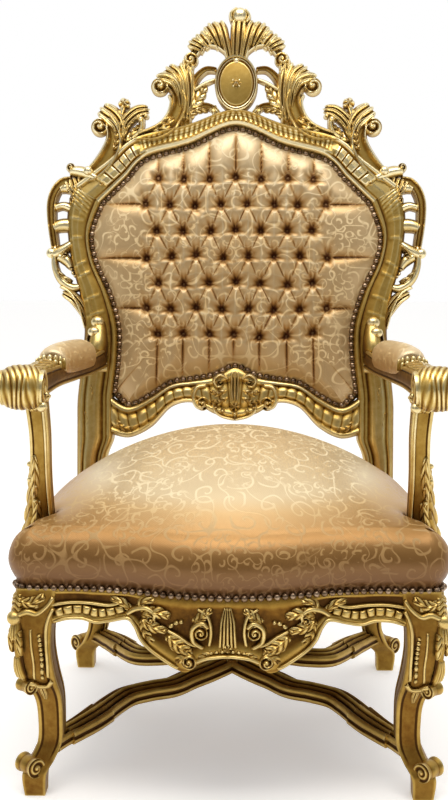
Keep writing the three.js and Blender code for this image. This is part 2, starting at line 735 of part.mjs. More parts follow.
// Way from the middle to a leg, as shares of the way across and of the way forward or back
const STRETCHER_WAY = [[0, 0], [0.15, 0.13], [0.27, 0.22], [0.37, 0.31], [0.5, 0.33], [0.63, 0.38],
  [0.71, 0.5], [0.78, 0.65], [0.87, 0.8], [0.94, 0.9], [1, 1]];

function stretcherArm([legCentreX, legCentreY], leg) {
  const ahead = Math.sign(stretcherMeetSetback - legCentreY);
  const rows = [[-0.1, -0.1], ...STRETCHER_WAY].map(([out, on]) => [
    legCentreX * out,
    lerp(stretcherMeetSetback, legCentreY, on),
    lerp(stretcherMeetHeight, stretcherLegHeight, Math.max(out, 0) ** 0.8),
    stretcherWidth * (out > 0.9 ? 0.66 : 1),
    stretcherThickness,
  ]);
  const reach = 2 * seatDepth;
  const otherSide = new THREE.BoxGeometry(reach, reach, reach)
    .translate((jointGap - reach) / 2, 0, 0);
  const otherEnd = new THREE.BoxGeometry(reach, reach, reach)
    .translate(0, stretcherMeetSetback + (ahead * (reach - jointGap)) / 2, 0);
  return cut(joined([sweep(rows, REEDED, UPWARD, 10)]), [otherSide, otherEnd, leg(jointGap)]);
}

const frontLegEnd = () => corner(-ankleInset + 2, 0).slice(0, 2);
const rearLegEnd = () => {
  const [x, y] = rearLegCentre();
  return [x, y + rearSplay * 0.72];
};

// Materials

const gilding = { color: "#c9992f", roughness: 0.34, metalness: 0.9 };
const damask = { color: "#c79a66", roughness: 0.6, metalness: 0 };
const nailBrass = { color: "#6b4a22", roughness: 0.4, metalness: 0.9 };

const pieces = [
  ["front_rail", gilding, frontRail()],
  ["rear_rail", gilding, rearRail()],
  ["lower_back_rail", gilding, lowerBackRail()],
  ["crest_rail", gilding, crestRail()],
  ["seat_cushion", damask, seatCushion()],
  ["back_pad", damask, backPad()],
  ["back_cover", damask, backCover()],
  ["seat_nail_row", nailBrass, seatNailRow()],
  ["back_nail_row", nailBrass, backNailRow()],
];

const pairs = [
  ["front_leg", gilding, frontLeg()],
  ["rear_post", gilding, rearPost()],
  ["side_rail", gilding, sideRail()],
  ["arm_support", gilding, armSupport()],
  ["arm", gilding, arm()],
  ["arm_pad", damask, armPad()],
  ["front_stretcher", gilding, stretcherArm(frontLegEnd(), frontLegBody)],
  ["rear_stretcher", gilding, stretcherArm(rearLegEnd(), rearLegBody)],
];

function geometryOf(manifold) {
  const mesh = manifold.getMesh();
  const geometry = new THREE.BufferGeometry();
  geometry.setAttribute("position", new THREE.BufferAttribute(mesh.vertProperties, 3));
  geometry.setIndex(new THREE.BufferAttribute(mesh.triVerts, 1));
  return geometry;
}

const throne = new THREE.Group();

function place(name, finish, geometry) {
  const mesh = new THREE.Mesh(geometry, new THREE.MeshStandardMaterial(finish));
  mesh.name = name;
  throne.add(mesh);
}

for (const [name, finish, manifold] of pieces) {
  place(name, finish, geometryOf(manifold));
}
for (const [name, finish, manifold] of pairs) {
  const geometry = geometryOf(manifold);
  place(`${name}_left`, finish, mirrored(geometry));
  place(`${name}_right`, finish, geometry);
}

// The frame's origin is the middle of the bounding box's bottom.
const bounds = new THREE.Box3().setFromObject(throne);
const middle = bounds.getCenter(new THREE.Vector3());
for (const mesh of throne.children) {
  mesh.geometry.translate(0, -middle.y, -bounds.min.z);
  mesh.geometry.computeVertexNormals();
}

export default throne;
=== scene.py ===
"""A carved and gilded throne chair with a tufted damask back, dressed round its CAD frame.

Shapes are worked out in millimetres, as the maker's drawings have them, and become metres in the mesh.
"""

import bpy
import mathutils
import numpy as np
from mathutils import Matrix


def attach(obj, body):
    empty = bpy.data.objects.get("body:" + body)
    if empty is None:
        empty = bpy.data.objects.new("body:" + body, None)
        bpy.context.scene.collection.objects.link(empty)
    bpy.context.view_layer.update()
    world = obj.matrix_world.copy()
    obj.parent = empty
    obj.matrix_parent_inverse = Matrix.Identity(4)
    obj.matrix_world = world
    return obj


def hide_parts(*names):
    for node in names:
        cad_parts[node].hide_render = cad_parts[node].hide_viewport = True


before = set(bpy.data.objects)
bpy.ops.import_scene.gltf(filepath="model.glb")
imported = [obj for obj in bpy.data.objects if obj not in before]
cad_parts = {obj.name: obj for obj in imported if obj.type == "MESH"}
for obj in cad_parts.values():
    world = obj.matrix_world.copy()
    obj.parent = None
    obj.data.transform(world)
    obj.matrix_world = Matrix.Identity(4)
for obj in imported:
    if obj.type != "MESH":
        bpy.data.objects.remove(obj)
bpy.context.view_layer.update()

# ------------------------------------------------------------------------------------------------
# Front legs: cabriole legs of carved beech, gessoed and gilded. The knee swells to the corner of the
# seat under an acanthus leaf, a scroll crosses the shin, and the foot rolls over a small block.

SEAT_FRONT = -342.26  # Y of the line that the drawings measure back from
RAIL_TOP = 385.0
LEG_X, LEG_Y = 332.0, 44.0  # middle of the leg at the rail, from the middle line and from SEAT_FRONT
# Leg as [height, shift out to the corner, width]
LEG_ROWS = [
    [0, 13, 37], [40, 13, 43], [64, 0, 44], [92, -12, 44], [131, -14, 44], [177, -11, 48],
    [223, 3, 62], [270, 9, 64], [316, 8, 66], [385, 0, 70],
]


def line(rows, t):
    """Smooth line through rows of numbers: between two rows, the cubic that leaves each with the slope
    from the row before it to the row after it. t is the share of the way, as an array."""
    rows = np.asarray(rows, float)
    last = len(rows) - 1
    at = np.clip(t, 0, 1) * last
    i = np.minimum(at.astype(int), last - 1)
    f = (at - i)[:, None]

    def row(k):
        return rows[np.clip(k, 0, last)]

    leave = (row(i + 1) - row(i - 1)) / 2
    enter = (row(i + 2) - row(i)) / 2
    return (
        (2 * f**3 - 3 * f**2 + 1) * row(i)
        + (f**3 - 2 * f**2 + f) * leave
        + (3 * f**2 - 2 * f**3) * row(i + 1)
        + (f**3 - f**2) * enter
    )


def whole(rows):
    """Rows that start on the middle line, with their mirror image before them."""
    rows = np.asarray(rows, float)
    return np.vstack([(rows * [-1, 1])[:0:-1], rows])


def skin(rings, patina_and_shade=0.5, looped=False):
    """Closed shell through rings of equal length (stations, round, xyz): a quad between each two
    neighbours on two rings, and a fan from the middle of each end ring. The second argument is each
    point's tone from 0 to 1: on the carving how far it stands proud of the ground, dark low down as patina
    and painted shade; on the cloth painted light and shade. The shell is turned so that its volume is positive."""
    stations, count, _ = rings.shape
    i = np.arange(stations if looped else stations - 1)[:, None]
    j = np.arange(count)[None]
    after, beside = (i + 1) % stations, (j + 1) % count
    quads = np.stack(
        [i * count + j, i * count + beside, after * count + beside, after * count + j], -1
    ).reshape(-1, 4)
    points = rings.reshape(-1, 3)
    patina_and_shade = np.broadcast_to(patina_and_shade, rings.shape[:2]).ravel()
    fans = np.zeros((0, 3), int)
    if not looped:
        points = np.vstack([points, rings[0].mean(0), rings[-1].mean(0)])
        patina_and_shade = np.append(patina_and_shade, [patina_and_shade[:count].mean(), patina_and_shade[-count:].mean()])
        k = np.arange(count)
        low, high = np.full(count, stations * count), np.full(count, stations * count + 1)
        end = (stations - 1) * count
        fans = np.vstack([
            np.stack([low, (k + 1) % count, k], 1),
            np.stack([high, end + k, end + (k + 1) % count], 1),
        ])
    corners = np.vstack([fans, quads[:, :3], quads[:, [0, 2, 3]]])
    a, b, c = (points[corners[:, n]] for n in range(3))
    if np.einsum("ij,ij->", a, np.cross(b, c)) < 0:
        quads, fans = quads[:, ::-1], fans[:, ::-1]
    return points, quads, fans, patina_and_shade


def mirrored(shells):
    """The same shells on the other side of the middle line, faces turned back outwards."""
    return [(p * [-1, 1, 1], q[:, ::-1], f[:, ::-1], r) for p, q, f, r in shells]


def both(shells):
    """The shells of the right side and their mirror image."""
    return shells + mirrored(shells)


def hollowness(points, quads, fans):
    """How far each point lies in a hollow (over 0) or on a ridge (under 0): the mean height of its
    neighbours over its tangent plane, divided by the square of their distance, for a 5 mm step."""
    tris = np.vstack([fans, quads[:, :3], quads[:, [0, 2, 3]]])
    a, b, c = (points[tris[:, n]] for n in range(3))
    face = np.cross(b - a, c - a)
    normal = np.zeros_like(points)
    for n in range(3):
        np.add.at(normal, tris[:, n], face)
    normal /= np.linalg.norm(normal, axis=1)[:, None] + 1e-9
    edges = np.vstack([quads[:, [0, 1]], quads[:, [1, 2]], quads[:, [2, 3]], quads[:, [3, 0]], fans[:, :2]])
    edges = np.vstack([edges, edges[:, ::-1]])
    step = points[edges[:, 1]] - points[edges[:, 0]]
    far = (step**2).sum(1) + 0.3
    lift = np.einsum("ij,ij->i", normal[edges[:, 0]], step) / far * 5
    total = np.bincount(edges[:, 0], lift, len(points))
    share = np.bincount(edges[:, 0], minlength=len(points)) + 1e-9
    hollow = total / share
    spread = np.bincount(edges[:, 0], hollow[edges[:, 1]], len(points)) / share
    return (hollow + spread) / 2


def mesh_of(name, shells, shade=True):
    """One mesh in metres from several shells, smooth but for its sharp arrises. Its tone attribute
    is 0 deep in the carving and 1 on the ridges, from each shell's own share and its hollowness: patina and
    painted shade in the hollows, burnish and painted light on the ridges."""
    starts = np.cumsum([0] + [len(s[0]) for s in shells])
    points = np.vstack([s[0] for s in shells])
    quads = np.vstack([s[1] + n for s, n in zip(shells, starts)])
    fans = np.vstack([s[2] + n for s, n in zip(shells, starts)])
    patina_and_shade = np.concatenate([s[3] for s in shells])
    # Hollows are toned darker and ridges paler: partly patina, partly painted shade and light
    if shade:
        patina_and_shade = patina_and_shade - 1.2 * hollowness(points, quads, fans)
    mesh = bpy.data.meshes.new(name)
    mesh.vertices.add(len(points))
    mesh.vertices.foreach_set("co", (points * 0.001).astype(np.float32).ravel())
    mesh.loops.add(4 * len(quads) + 3 * len(fans))
    mesh.loops.foreach_set("vertex_index", np.concatenate([quads.ravel(), fans.ravel()]).astype(np.int32))
    begins = np.concatenate([4 * np.arange(len(quads)), 4 * len(quads) + 3 * np.arange(len(fans))])
    mesh.polygons.add(len(begins))
    mesh.polygons.foreach_set("loop_start", begins.astype(np.int32))
    mesh.update(calc_edges=True)
    mesh.validate()
    mesh.shade_smooth()
    mesh.set_sharp_from_angle(angle=np.radians(48))
    mesh.attributes.new("patina_and_shade", "FLOAT", "POINT").data.foreach_set(
        "value", np.clip(patina_and_shade, 0, 1).astype(np.float32))
    return mesh


def piece(name, shells, finish, nodes, shade=True):
    """An object of one finish that rides on the chair and stands for the CAD nodes given."""
    made = bpy.data.objects.new(name, mesh_of(name, shells, shade))
    bpy.context.scene.collection.objects.link(made)
    made.data.materials.append(finish)
    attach(made, "root")
    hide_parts(*nodes)
    return made


def colour(code):
    """Linear colour of an sRGB hex code."""
    share = np.array([int(code[k:k + 2], 16) for k in (1, 3, 5)]) / 255
    linear = np.where(share <= 0.04045, share / 12.92, ((share + 0.055) / 1.055) ** 2.4)
    return (*(float(c) for c in linear), 1.0)


def add(tree, kind, inputs=None, stops=None, **settings):
    """Adds a node. inputs gives each socket, by name or number, a value or another node's output;
    stops are a colour ramp's places and hex codes."""
    made = tree.nodes.new(kind)
    for key, value in settings.items():
        setattr(made, key, value)
    for key, value in (inputs or {}).items():
        if isinstance(value, bpy.types.NodeSocket):
            tree.links.new(value, made.inputs[key])
        else:
            made.inputs[key].default_value = value
    if stops:
        points = made.color_ramp.elements
        while len(points) < len(stops):
            points.new(0.5)
        for point, (place, code) in zip(points, stops):
            point.position, point.color = place, colour(code)
    return made


def new_material(name):
    """An empty material of that name, and its tree of nodes."""
    made = bpy.data.materials.new(name)
    made.use_nodes = True
    made.node_tree.nodes.clear()
    return made, made.node_tree


# Water gilding over gesso and red bole, toned with an antiquing wash: pale and burnished where hands
# and cloths rub the ridges, brown and orange where the wash lies in the hollows. That tone comes from
# how proud and how hollow each point is, so it is partly patina and burnish and partly painted shade
# in the hollows and painted light on the ridges. The gilding is also painted darker towards the floor
# and paler towards the top, as painted shade and light.
gilded_wood, tree = new_material("gilded_wood")
where = add(tree, "ShaderNodeTexCoord").outputs["Object"]
cloud = add(tree, "ShaderNodeTexNoise", {"Vector": where, "Scale": 9.0, "Detail": 4.0, "Roughness": 0.6})
fleck = add(tree, "ShaderNodeTexNoise", {"Vector": where, "Scale": 70.0, "Detail": 3.0, "Roughness": 0.65})
# Tone attribute: patina and painted shade in the hollows, burnish and painted light on the ridges
patina_shade_tone = add(tree, "ShaderNodeAttribute", attribute_name="patina_and_shade").outputs["Fac"]
drift = add(tree, "ShaderNodeMath", {0: cloud.outputs["Fac"], 1: 0.5}, operation="SUBTRACT")
speck = add(tree, "ShaderNodeMath", {0: fleck.outputs["Fac"], 1: 0.5}, operation="SUBTRACT")
# Painted shade and light by height: darker towards the floor, paler towards the top
height = add(tree, "ShaderNodeSeparateXYZ", {0: where})
height_light_and_shade = add(tree, "ShaderNodeMapRange",
           {"Value": height.outputs["Z"], "From Min": 0.36, "From Max": 1.3, "To Min": -0.3, "To Max": 0.16})
toned = add(tree, "ShaderNodeMath", {0: drift.outputs[0], 1: 0.3, 2: patina_shade_tone}, operation="MULTIPLY_ADD")
toned = add(tree, "ShaderNodeMath", {0: speck.outputs[0], 1: 0.3, 2: toned.outputs[0]}, operation="MULTIPLY_ADD")
toned = add(tree, "ShaderNodeMath", {0: toned.outputs[0], 1: height_light_and_shade.outputs["Result"]}, operation="ADD")
leaf_tone = add(tree, "ShaderNodeValToRGB", {"Fac": toned.outputs[0]}, stops=[
    (0.0, "#4c3010"), (0.14, "#78521c"), (0.34, "#9a7833"), (0.55, "#bb9b52"), (0.76, "#d6be7e"), (1.0, "#f0e2b6")])
polish = add(tree, "ShaderNodeMapRange", {
    "Value": toned.outputs[0], "From Min": 0.1, "From Max": 0.9, "To Min": 0.52, "To Max": 0.3})
grain = add(tree, "ShaderNodeBump", {"Strength": 0.22, "Distance": 0.0012, "Height": fleck.outputs["Fac"]})
gold = add(tree, "ShaderNodeBsdfPrincipled", {
    "Base Color": leaf_tone.outputs["Color"], "Metallic": 0.92, "Roughness": polish.outputs["Result"],
    "Normal": grain.outputs["Normal"]})
add(tree, "ShaderNodeOutputMaterial", {"Surface": gold.outputs["BSDF"]})


def moulded_square(depth):
    """Square sections with softened arrises and a channel sunk in each face. depth is the channel's
    depth at each station, as a share of the half width."""
    place = np.array([-0.86, -0.74, -0.66, -0.58, -0.5, -0.25, 0, 0.25, 0.5, 0.58, 0.66, 0.74, 0.86])
    sunk = np.array([0, 0, 0.7, 1, 0.45, 0.2, 0.1, 0.2, 0.45, 1, 0.7, 0, 0])
    depth = np.asarray(depth, float)[:, None]
    face = np.stack(np.broadcast_arrays(1 - depth * sunk, place[None]), -1)
    arris = np.broadcast_to([0.955, 0.955], (len(depth), 1, 2))
    side = np.concatenate([face, arris], 1)
    quarters = [side]
    for _ in range(3):
        last = quarters[-1]
        quarters.append(np.stack([-last[..., 1], last[..., 0]], -1))
    return np.concatenate(quarters, 1)


def post(rows, steps, channel):
    """Level sections stacked through rows of [x, y, z, width, depth]; channel(z) is the depth of the
    channel in the faces."""
    x, y, z, width, depth = line(rows, np.linspace(0, 1, steps + 1)).T
    section = moulded_square(channel(z))
    rings = np.stack([
        x[:, None] + section[..., 0] * width[:, None] / 2,
        y[:, None] + section[..., 1] * depth[:, None] / 2,
        np.broadcast_to(z[:, None], section.shape[:2]),
    ], -1)
    reach = np.abs(section).max(-1)
    # Painted shade: the channels and arrises are toned darker than the faces
    return skin(rings, 0.5 - 2.2 * (1 - np.minimum(reach, 1)))


def stroke(rows, relief, place, steps=40, across=13, back=10.0, outline=None, tips=(1, 0)):
    """A carved stroke. Rows are [u, v, width, height], and their smooth line is its middle. At share s
    along and share a across, from -1 to 1, the point lies a half widths beside the line and stands
    height times relief(s, a) over the ground. Its underside lies `back` below the ground. tips is a
    number of lobes and how far, in mm, each runs out past the notches between them at the end."""
    s = np.linspace(0, 1, steps + 1)
    u, v, width, height = line(rows, s).T
    du, dv = np.gradient(u), np.gradient(v)
    run = np.hypot(du, dv) + 1e-9
    share, aside = np.meshgrid(s, np.linspace(-1, 1, across), indexing="ij")
    reach = aside * (width / 2)[:, None] * (outline(share, aside) if outline else 1)
    lift = np.clip(relief(share, aside), 0, 1.4)
    further = tips[1] * share**5 * (np.abs(np.sin(np.pi * tips[0] * (aside + 1) / 2)) ** 0.7 - 0.8 * aside**2)
    u = u[:, None] - (dv / run)[:, None] * reach + (du / run)[:, None] * further
    v = v[:, None] + (du / run)[:, None] * reach + (dv / run)[:, None] * further
    w = height[:, None] * lift
    under = np.full((len(s), 1), -back)
    u, v = (np.hstack([k, k[:, -1:], k[:, :1]]) for k in (u, v))
    w = np.hstack([w, under, under])
    # Painted shade and patina: the carving is toned paler the higher it stands, and its sides down to the ground dark
    patina_shade_tone = np.hstack([0.2 + 0.6 * lift, 0 * under, 0 * under])
    return skin(place(u, v, w), patina_shade_tone)


def ends(s, reach=0.06):
    """Rounds off both ends of a stroke over a share of its length."""
    return np.sqrt(np.clip(np.minimum(s, 1 - s) / reach, 0.02, 1))


def rounded(s, a):
    """A round bar: the half circle over the stroke's width."""
    return np.sqrt(np.clip(1 - 0.98 * a**2, 0, 1)) * ends(s)


def rimmed(s, a):
    """A scroll's ribbon: a round rim at three quarters of the way to each edge, and a hollow between."""
    rim = np.exp(-(((np.abs(a) - 0.72) / 0.2) ** 2))
    return (0.42 + 0.58 * rim) * (1 - 0.45 * np.abs(a) ** 8) * ends(s, 0.04)


def fluted(count):
    """Flutes that run with the stroke: so many round ridges side by side."""
    def lift(s, a):
        ridge = np.abs(np.sin(np.pi * count * (a + 1) / 2)) ** 0.7
        return (0.55 + 0.45 * ridge) * ends(s, 0.08) * (1 - 0.3 * a**2)
    return lift


def plume(rows, place, ridges=3, tip=7.0, **more):
    """A broad leaf whose ridges fan out to a lobed tip. Each ridge bellies along its length and has a
    fine crease on its back, and the leaf dips in the middle of its width."""
    def lift(s, a):
        lobe = np.abs(np.sin(np.pi * ridges * (a + 1) / 2))
        crease = np.exp(-(((lobe - 1) / 0.02) ** 2))
        belly = (0.86 + 0.14 * np.sin(np.pi * s)) * (1 - 0.25 * a**2)
        return (0.5 + 0.5 * lobe**0.8 - 0.07 * crease) * belly * ends(s, 0.08)
    return stroke(rows, lift, place, steps=44, across=10 * ridges + 1, tips=(ridges, tip), **more)


def gadrooned(count):
    """Lobes across the stroke, one after another along it, each domed both ways."""
    def lift(s, a):
        lobe = np.abs(np.sin(np.pi * count * s)) ** 0.5
        return (0.25 + 0.75 * lobe) * np.sqrt(np.clip(1 - 0.9 * a**4, 0, 1))
    return lift


def leafy(count):
    """An acanthus leaf: a raised rib down the middle, and side lobes parted by veins that slant to its
    tip, each lobe cupped between them."""
    def lift(s, a):
        vein = np.abs(np.sin(np.pi * (count * s - 0.9 * np.abs(a))))
        rib = np.exp(-((a / 0.13) ** 2))
        return ((0.62 + 0.27 * vein**0.6) * (1 - 0.5 * np.abs(a) ** 2.2) + 0.26 * rib) * ends(s, 0.12)
    return lift


def toothed(count, depth=0.28):
    """Outline of a leaf with so many lobes: the width falls off at the notch after each lobe."""
    return lambda s, a: 1 - depth * (1 - np.abs(np.sin(np.pi * (count * s - 0.9 * np.abs(a)))) ** 0.5)


def leaf(rows, place, lobes=5, **more):
    """A carved leaf with so many lobes on each side."""
    return stroke(rows, leafy(lobes), place, outline=toothed(lobes), **more)


def string(rows, place, count, **more):
    """A string of beads: half balls of the stroke's width, pinched together between them."""
    def wave(s):
        return np.sqrt(np.clip(1 - (2 * ((count * s) % 1) - 1) ** 2, 0.05, 1))
    return stroke(rows, lambda s, a: wave(s) * np.sqrt(np.clip(1 - 0.98 * a**2, 0, 1)), place,
                  steps=8 * count, across=7, outline=lambda s, a: wave(s), **more)


def disc(u, v, radius, height, place, shape, back=10.0, rings=9, count=28, turn=0.0, outline=None):
    """A round carving. At share r from the middle and angle t it stands height times shape(r, t) over
    the ground; its edge goes straight down to the ground and its outline may swell with t."""
    r = np.linspace(0.04, 1, rings)
    r, t = np.meshgrid(r, np.linspace(0, 2 * np.pi, count, endpoint=False), indexing="ij")
    reach = radius * r * (outline(t) if outline else 1)
    lift = np.clip(shape(r, t), 0, 1.5)
    us, vs, w = u + reach * np.cos(t + turn), v + reach * np.sin(t + turn), height * lift
    us, vs = np.vstack([us, us[-1:]]), np.vstack([vs, vs[-1:]])
    w = np.vstack([w, np.full((1, count), -back)])
    # Painted shade and patina: the carving is toned paler the higher it stands, and its edge down to the ground dark
    return skin(place(us, vs, w), np.vstack([0.25 + 0.55 * lift, np.zeros((1, count))]))


def volute(u, v, radius, height, place, hand=1, turns=1.6, turn=0.0, **more):
    """The rolled end of a scroll: a ridge that winds in to a round eye, over a domed disc."""
    def shape(r, t):
        wind = np.cos(2 * np.pi * (turns * r - hand * t / (2 * np.pi)))
        eye = np.exp(-((r / 0.26) ** 2))
        return (0.68 + 0.24 * wind * (1 - eye) + 0.42 * eye) * np.sqrt(np.clip(1 - 0.75 * r**4, 0, 1))
    return disc(u, v, radius, height, place, shape, rings=12, turn=turn, **more)


def rosette(u, v, radius, height, place, petals=6, turn=0.0, **more):
    """A flower: petals parted by creases round a bead."""
    def crease(t):
        return np.abs(np.cos(petals * t / 2)) ** 0.6

    def shape(r, t):
        bead = 0.45 * np.exp(-((r / 0.3) ** 4))
        return (0.35 + 0.5 * crease(t)) * np.sqrt(np.clip(1 - 0.8 * r**3, 0, 1)) + bead
    return disc(u, v, radius, height, place, shape, turn=turn, outline=lambda t: 0.84 + 0.16 * crease(t), **more)


def half_ball(r, t):
    """A dome that meets the ground square."""
    return np.sqrt(np.clip(1 - r**2, 0, 1))


def button(u, v, radius, height, place, **more):
    """A half ball."""
    return disc(u, v, radius, height, place, half_ball, rings=7, count=18, **more)


def knob(centre, radius, squash=(1, 1, 1)):
    """A ball: rings of latitude from pole to pole."""
    lat, lon = np.meshgrid(np.linspace(-1.45, 1.45, 11), np.linspace(0, 2 * np.pi, 18, endpoint=False), indexing="ij")
    ball = np.stack([np.cos(lat) * np.cos(lon), np.cos(lat) * np.sin(lon), np.sin(lat)], -1)
    return skin(np.asarray(centre, float) + radius * ball * squash, 0.75)


def roll(centre, axis, radius, length, ribs=0, rib=0.0, winding=1.7, hand=1, count=32):
    """A scroll rolled round an axis: on each end a ridge winds in to an eye, and round the drum run so
    many ribs of the given height. The drum is slightly waisted."""
    axis = np.asarray(axis, float) / np.linalg.norm(axis)
    side = np.cross(axis, [0, 0, 1.0])
    side = side / np.linalg.norm(side)
    up = np.cross(side, axis)
    t = np.linspace(0, 2 * np.pi, count, endpoint=False)[None]
    r = np.linspace(0.04, 0.97, 11)[:, None]
    eye = np.exp(-((r / 0.25) ** 2))
    wound = np.cos(2 * np.pi * (winding * r - hand * t / (2 * np.pi)))
    face = radius * (0.05 + 0.13 * eye + 0.07 * (1 - eye) * wound) + 0 * t
    a = np.linspace(-1, 1, 8 * max(ribs, 1) + 5)[:, None]
    bulge = rib * np.abs(np.cos(np.pi * ribs * (a + 1) / 2)) if ribs else 0
    drum = radius * (1 - 0.06 * (1 - a**2)) - rib + bulge + 0 * t
    out = np.vstack([radius * r + 0 * t, drum, (radius * r + 0 * t)[::-1]])
    along = np.vstack([-length / 2 - face, a * length / 2 + 0 * t, (length / 2 + face)[::-1]])
    angle = np.broadcast_to(t, out.shape)
    rings = (np.asarray(centre, float) + along[..., None] * axis
             + (out * np.cos(angle))[..., None] * side + (out * np.sin(angle))[..., None] * up)
    # Painted shade: the ends are toned paler on the winding ridge and darker in its groove, the drum paler where it
    # swells
    end_tone = 0.35 + 2.5 * face / radius
    tone = np.vstack([end_tone, 0.6 + 0.05 * (drum - drum.mean()), end_tone[::-1]])
    return skin(rings, np.clip(tone, 0, 1))


def leg_at(z):
    """Shift out and half width of the front leg at a height."""
    rows = line(LEG_ROWS, np.linspace(0, 1, 200))
    return np.interp(z, rows[:, 0], rows[:, 1]), np.interp(z, rows[:, 0], rows[:, 2]) / 2


def leg_front(u, z, w):
    """A point on the front face, u outwards from its middle, w over it."""
    out, half = leg_at(z)
    return np.stack([LEG_X + out + u, SEAT_FRONT + LEG_Y - out - half - w, z + 0 * u], -1)


def leg_side(u, z, w):
    """A point on the outer side face, u forwards from its middle, w over it."""
    out, half = leg_at(z)
    return np.stack([LEG_X + out + half + w, SEAT_FRONT + LEG_Y - out - u, z + 0 * u], -1)


def leg_corner(u, z, w):
    """A point on the outer arris, u round it, w out along the diagonal."""
    out, half = leg_at(z)
    reach = (half * 1.3 + w) / np.sqrt(2)
    return np.stack([
        LEG_X + out + reach + u / np.sqrt(2), SEAT_FRONT + LEG_Y - out - reach + u / np.sqrt(2), z + 0 * u], -1)


def leg_channel(z):
    """The channel fades out over the foot block and under the knee's carving."""
    return 0.1 * np.clip((z - 62) / 30, 0, 1) * np.clip((330 - z) / 60, 0, 1)


def scroll_on(face):
    """The carving that both outer faces of a front leg share."""
    return [
        stroke([[29, 338, 10, 7], [12, 346, 13, 9], [-6, 343, 11, 8], [-22, 356, 9, 7], [-31, 372, 8, 5]], rounded,
               face, back=4),
        leaf([[26, 366, 12, 5], [6, 362, 20, 9], [-16, 374, 12, 6]], face, 4, back=4),
        button(-4, 355, 4.5, 6, face, back=3),
        string([[-12, 306, 8.5, 5], [-15, 282, 8.5, 5], [-15, 255, 8, 5], [-9, 219, 7.5, 4.5]], face, 9, back=2),
        stroke([[3, 314, 5, 4], [1, 284, 5, 4], [0, 250, 5, 4], [6, 218, 5, 3]], rounded, face, across=7, back=3),
        stroke([[-33, 352, 8, 6], [-27, 336, 7, 5], [-24, 316, 7, 5], [-25, 284, 6, 5], [-24, 250, 6, 4],
                [-19, 222, 6, 3]], rounded, face, steps=60, across=7, back=3),
        stroke([[28, 203, 13, 9], [14, 210, 13, 9], [2, 204, 11, 8], [-12, 205, 9, 7], [-24, 216, 7, 4]], rounded,
               face, back=5),
        volute(8, 206, 8, 10, face, back=4),
        plume([[4, 174, 5, 2], [2, 188, 12, 5], [0, 200, 12, 6]], face, 2, 2, back=4),
    ]


front_leg = [post([[LEG_X + out, SEAT_FRONT + LEG_Y - out, z, w, w] for z, out, w in LEG_ROWS], 90, leg_channel)]
front_leg += scroll_on(leg_front) + scroll_on(leg_side)
front_leg += [
    leaf([[0, 376, 14, 3], [0, 362, 24, 6], [0, 344, 20, 5]], leg_corner, 4, back=6),
    plume([[0, 332, 14, 4], [0, 314, 22, 7], [0, 298, 22, 8]], leg_corner, 3, 5, back=6),
    leaf([[-8, 312, 14, 5], [-12, 292, 14, 6], [-13, 268, 6, 3]], leg_corner, 3, back=4),
    leaf([[8, 312, 14, 5], [12, 292, 14, 6], [13, 268, 6, 3]], leg_corner, 3, back=4),
    plume([[0, 262, 12, 3], [0, 240, 20, 6], [0, 222, 24, 6]], leg_corner, 3, 4, back=4),
    roll((LEG_X + 22, SEAT_FRONT + LEG_Y - 22, 54), (1, 1, 0), 18, 41, ribs=2, rib=1.2),
    roll((LEG_X + 24, SEAT_FRONT + LEG_Y - 24, 204), (1, 1, 0), 13, 30, ribs=1, rib=1.0),
    knob(leg_corner(np.float64(0), np.float64(334), np.float64(3)), 13),
]
piece("carved_front_legs", both(front_leg), gilded_wood,
                   ["front_leg_left", "front_leg_right"])

# ------------------------------------------------------------------------------------------------
# Seat rails: moulded beech rails between the legs. The front one bows forwards and carries the deep
# arched apron, with a shell between two scrolls in the middle and gadroons over each arch.

HALF_FRONT, HALF_REAR, SEAT_DEPTH = 376.0, 338.0, 552.0
RAIL_BOW, BOW_REACH, RAIL_SETBACK, RAIL_THICK = 50.0, 270.0, 12.0, 42.0
RAIL_DROP = 74.0  # height of the side and rear rails
REAR_FACE, REAR_THICK = 239.6, 38.0  # Y of the rear rail's outer face, and its thickness
APRON_EDGE = [
    [0, 104], [31, 108], [54, 120], [70, 133], [86, 131], [105, 119], [131, 100], [146, 81], [157, 61],
    [173, 50], [210, 58], [232, 62], [256, 55], [285, 56], [308, 64], [340, 66],
]  # lower edge, as [from the middle, below the rail's top]


def rail_face(x):
    """Depth of the front rail's face at x: the bow is half a cosine wave over its reach."""
    share = np.minimum(1, np.abs(x) / BOW_REACH)
    return RAIL_SETBACK - RAIL_BOW * (1 + np.cos(np.pi * share)) / 2


def on_apron(x, down, w):
    """A point on the front rail's bowed face, down from the rail's top, w over it."""
    return np.stack([x, SEAT_FRONT + rail_face(x) - w, RAIL_TOP - down + 0 * x], -1)


def half_width(y):
    """Half the width of the seat at y behind its front line."""
    return HALF_FRONT + (HALF_REAR - HALF_FRONT) * y / SEAT_DEPTH


# Swell of a rail's face from its top to its lower edge: a fillet, a shallow hollow and a bead
RAIL_SWELL = [[0, -2], [0.05, 1.5], [0.12, 2], [0.17, 0], [0.24, -1], [0.45, -2], [0.66, -2], [0.74, 0.5], [0.8, 4],
              [0.86, 5], [0.93, 4], [0.97, 1], [1, 0]]


def rail(x, y, drop, outward, thick):
    """A rail along stations x, y with a height at each: its moulded face swells outwards by RAIL_SWELL
    and its back is flat."""
    share, swell = np.array(RAIL_SWELL).T
    swell = np.concatenate([swell, [-thick, -thick]])
    share = np.concatenate([share, [1, 0]])
    place = np.stack([x, y], -1)[:, None] + swell[None, :, None] * np.asarray(outward, float)
    z = RAIL_TOP - drop[:, None] * share[None]
    # Painted shade: the face is toned paler where it swells out and darker in its hollow, and the flat back darker
    # still
    tone = np.broadcast_to(np.concatenate([0.4 + 0.05 * swell[:-2], [0.2, 0.2]]), z.shape)
    return skin(np.concatenate([place, z[..., None]], -1), tone)


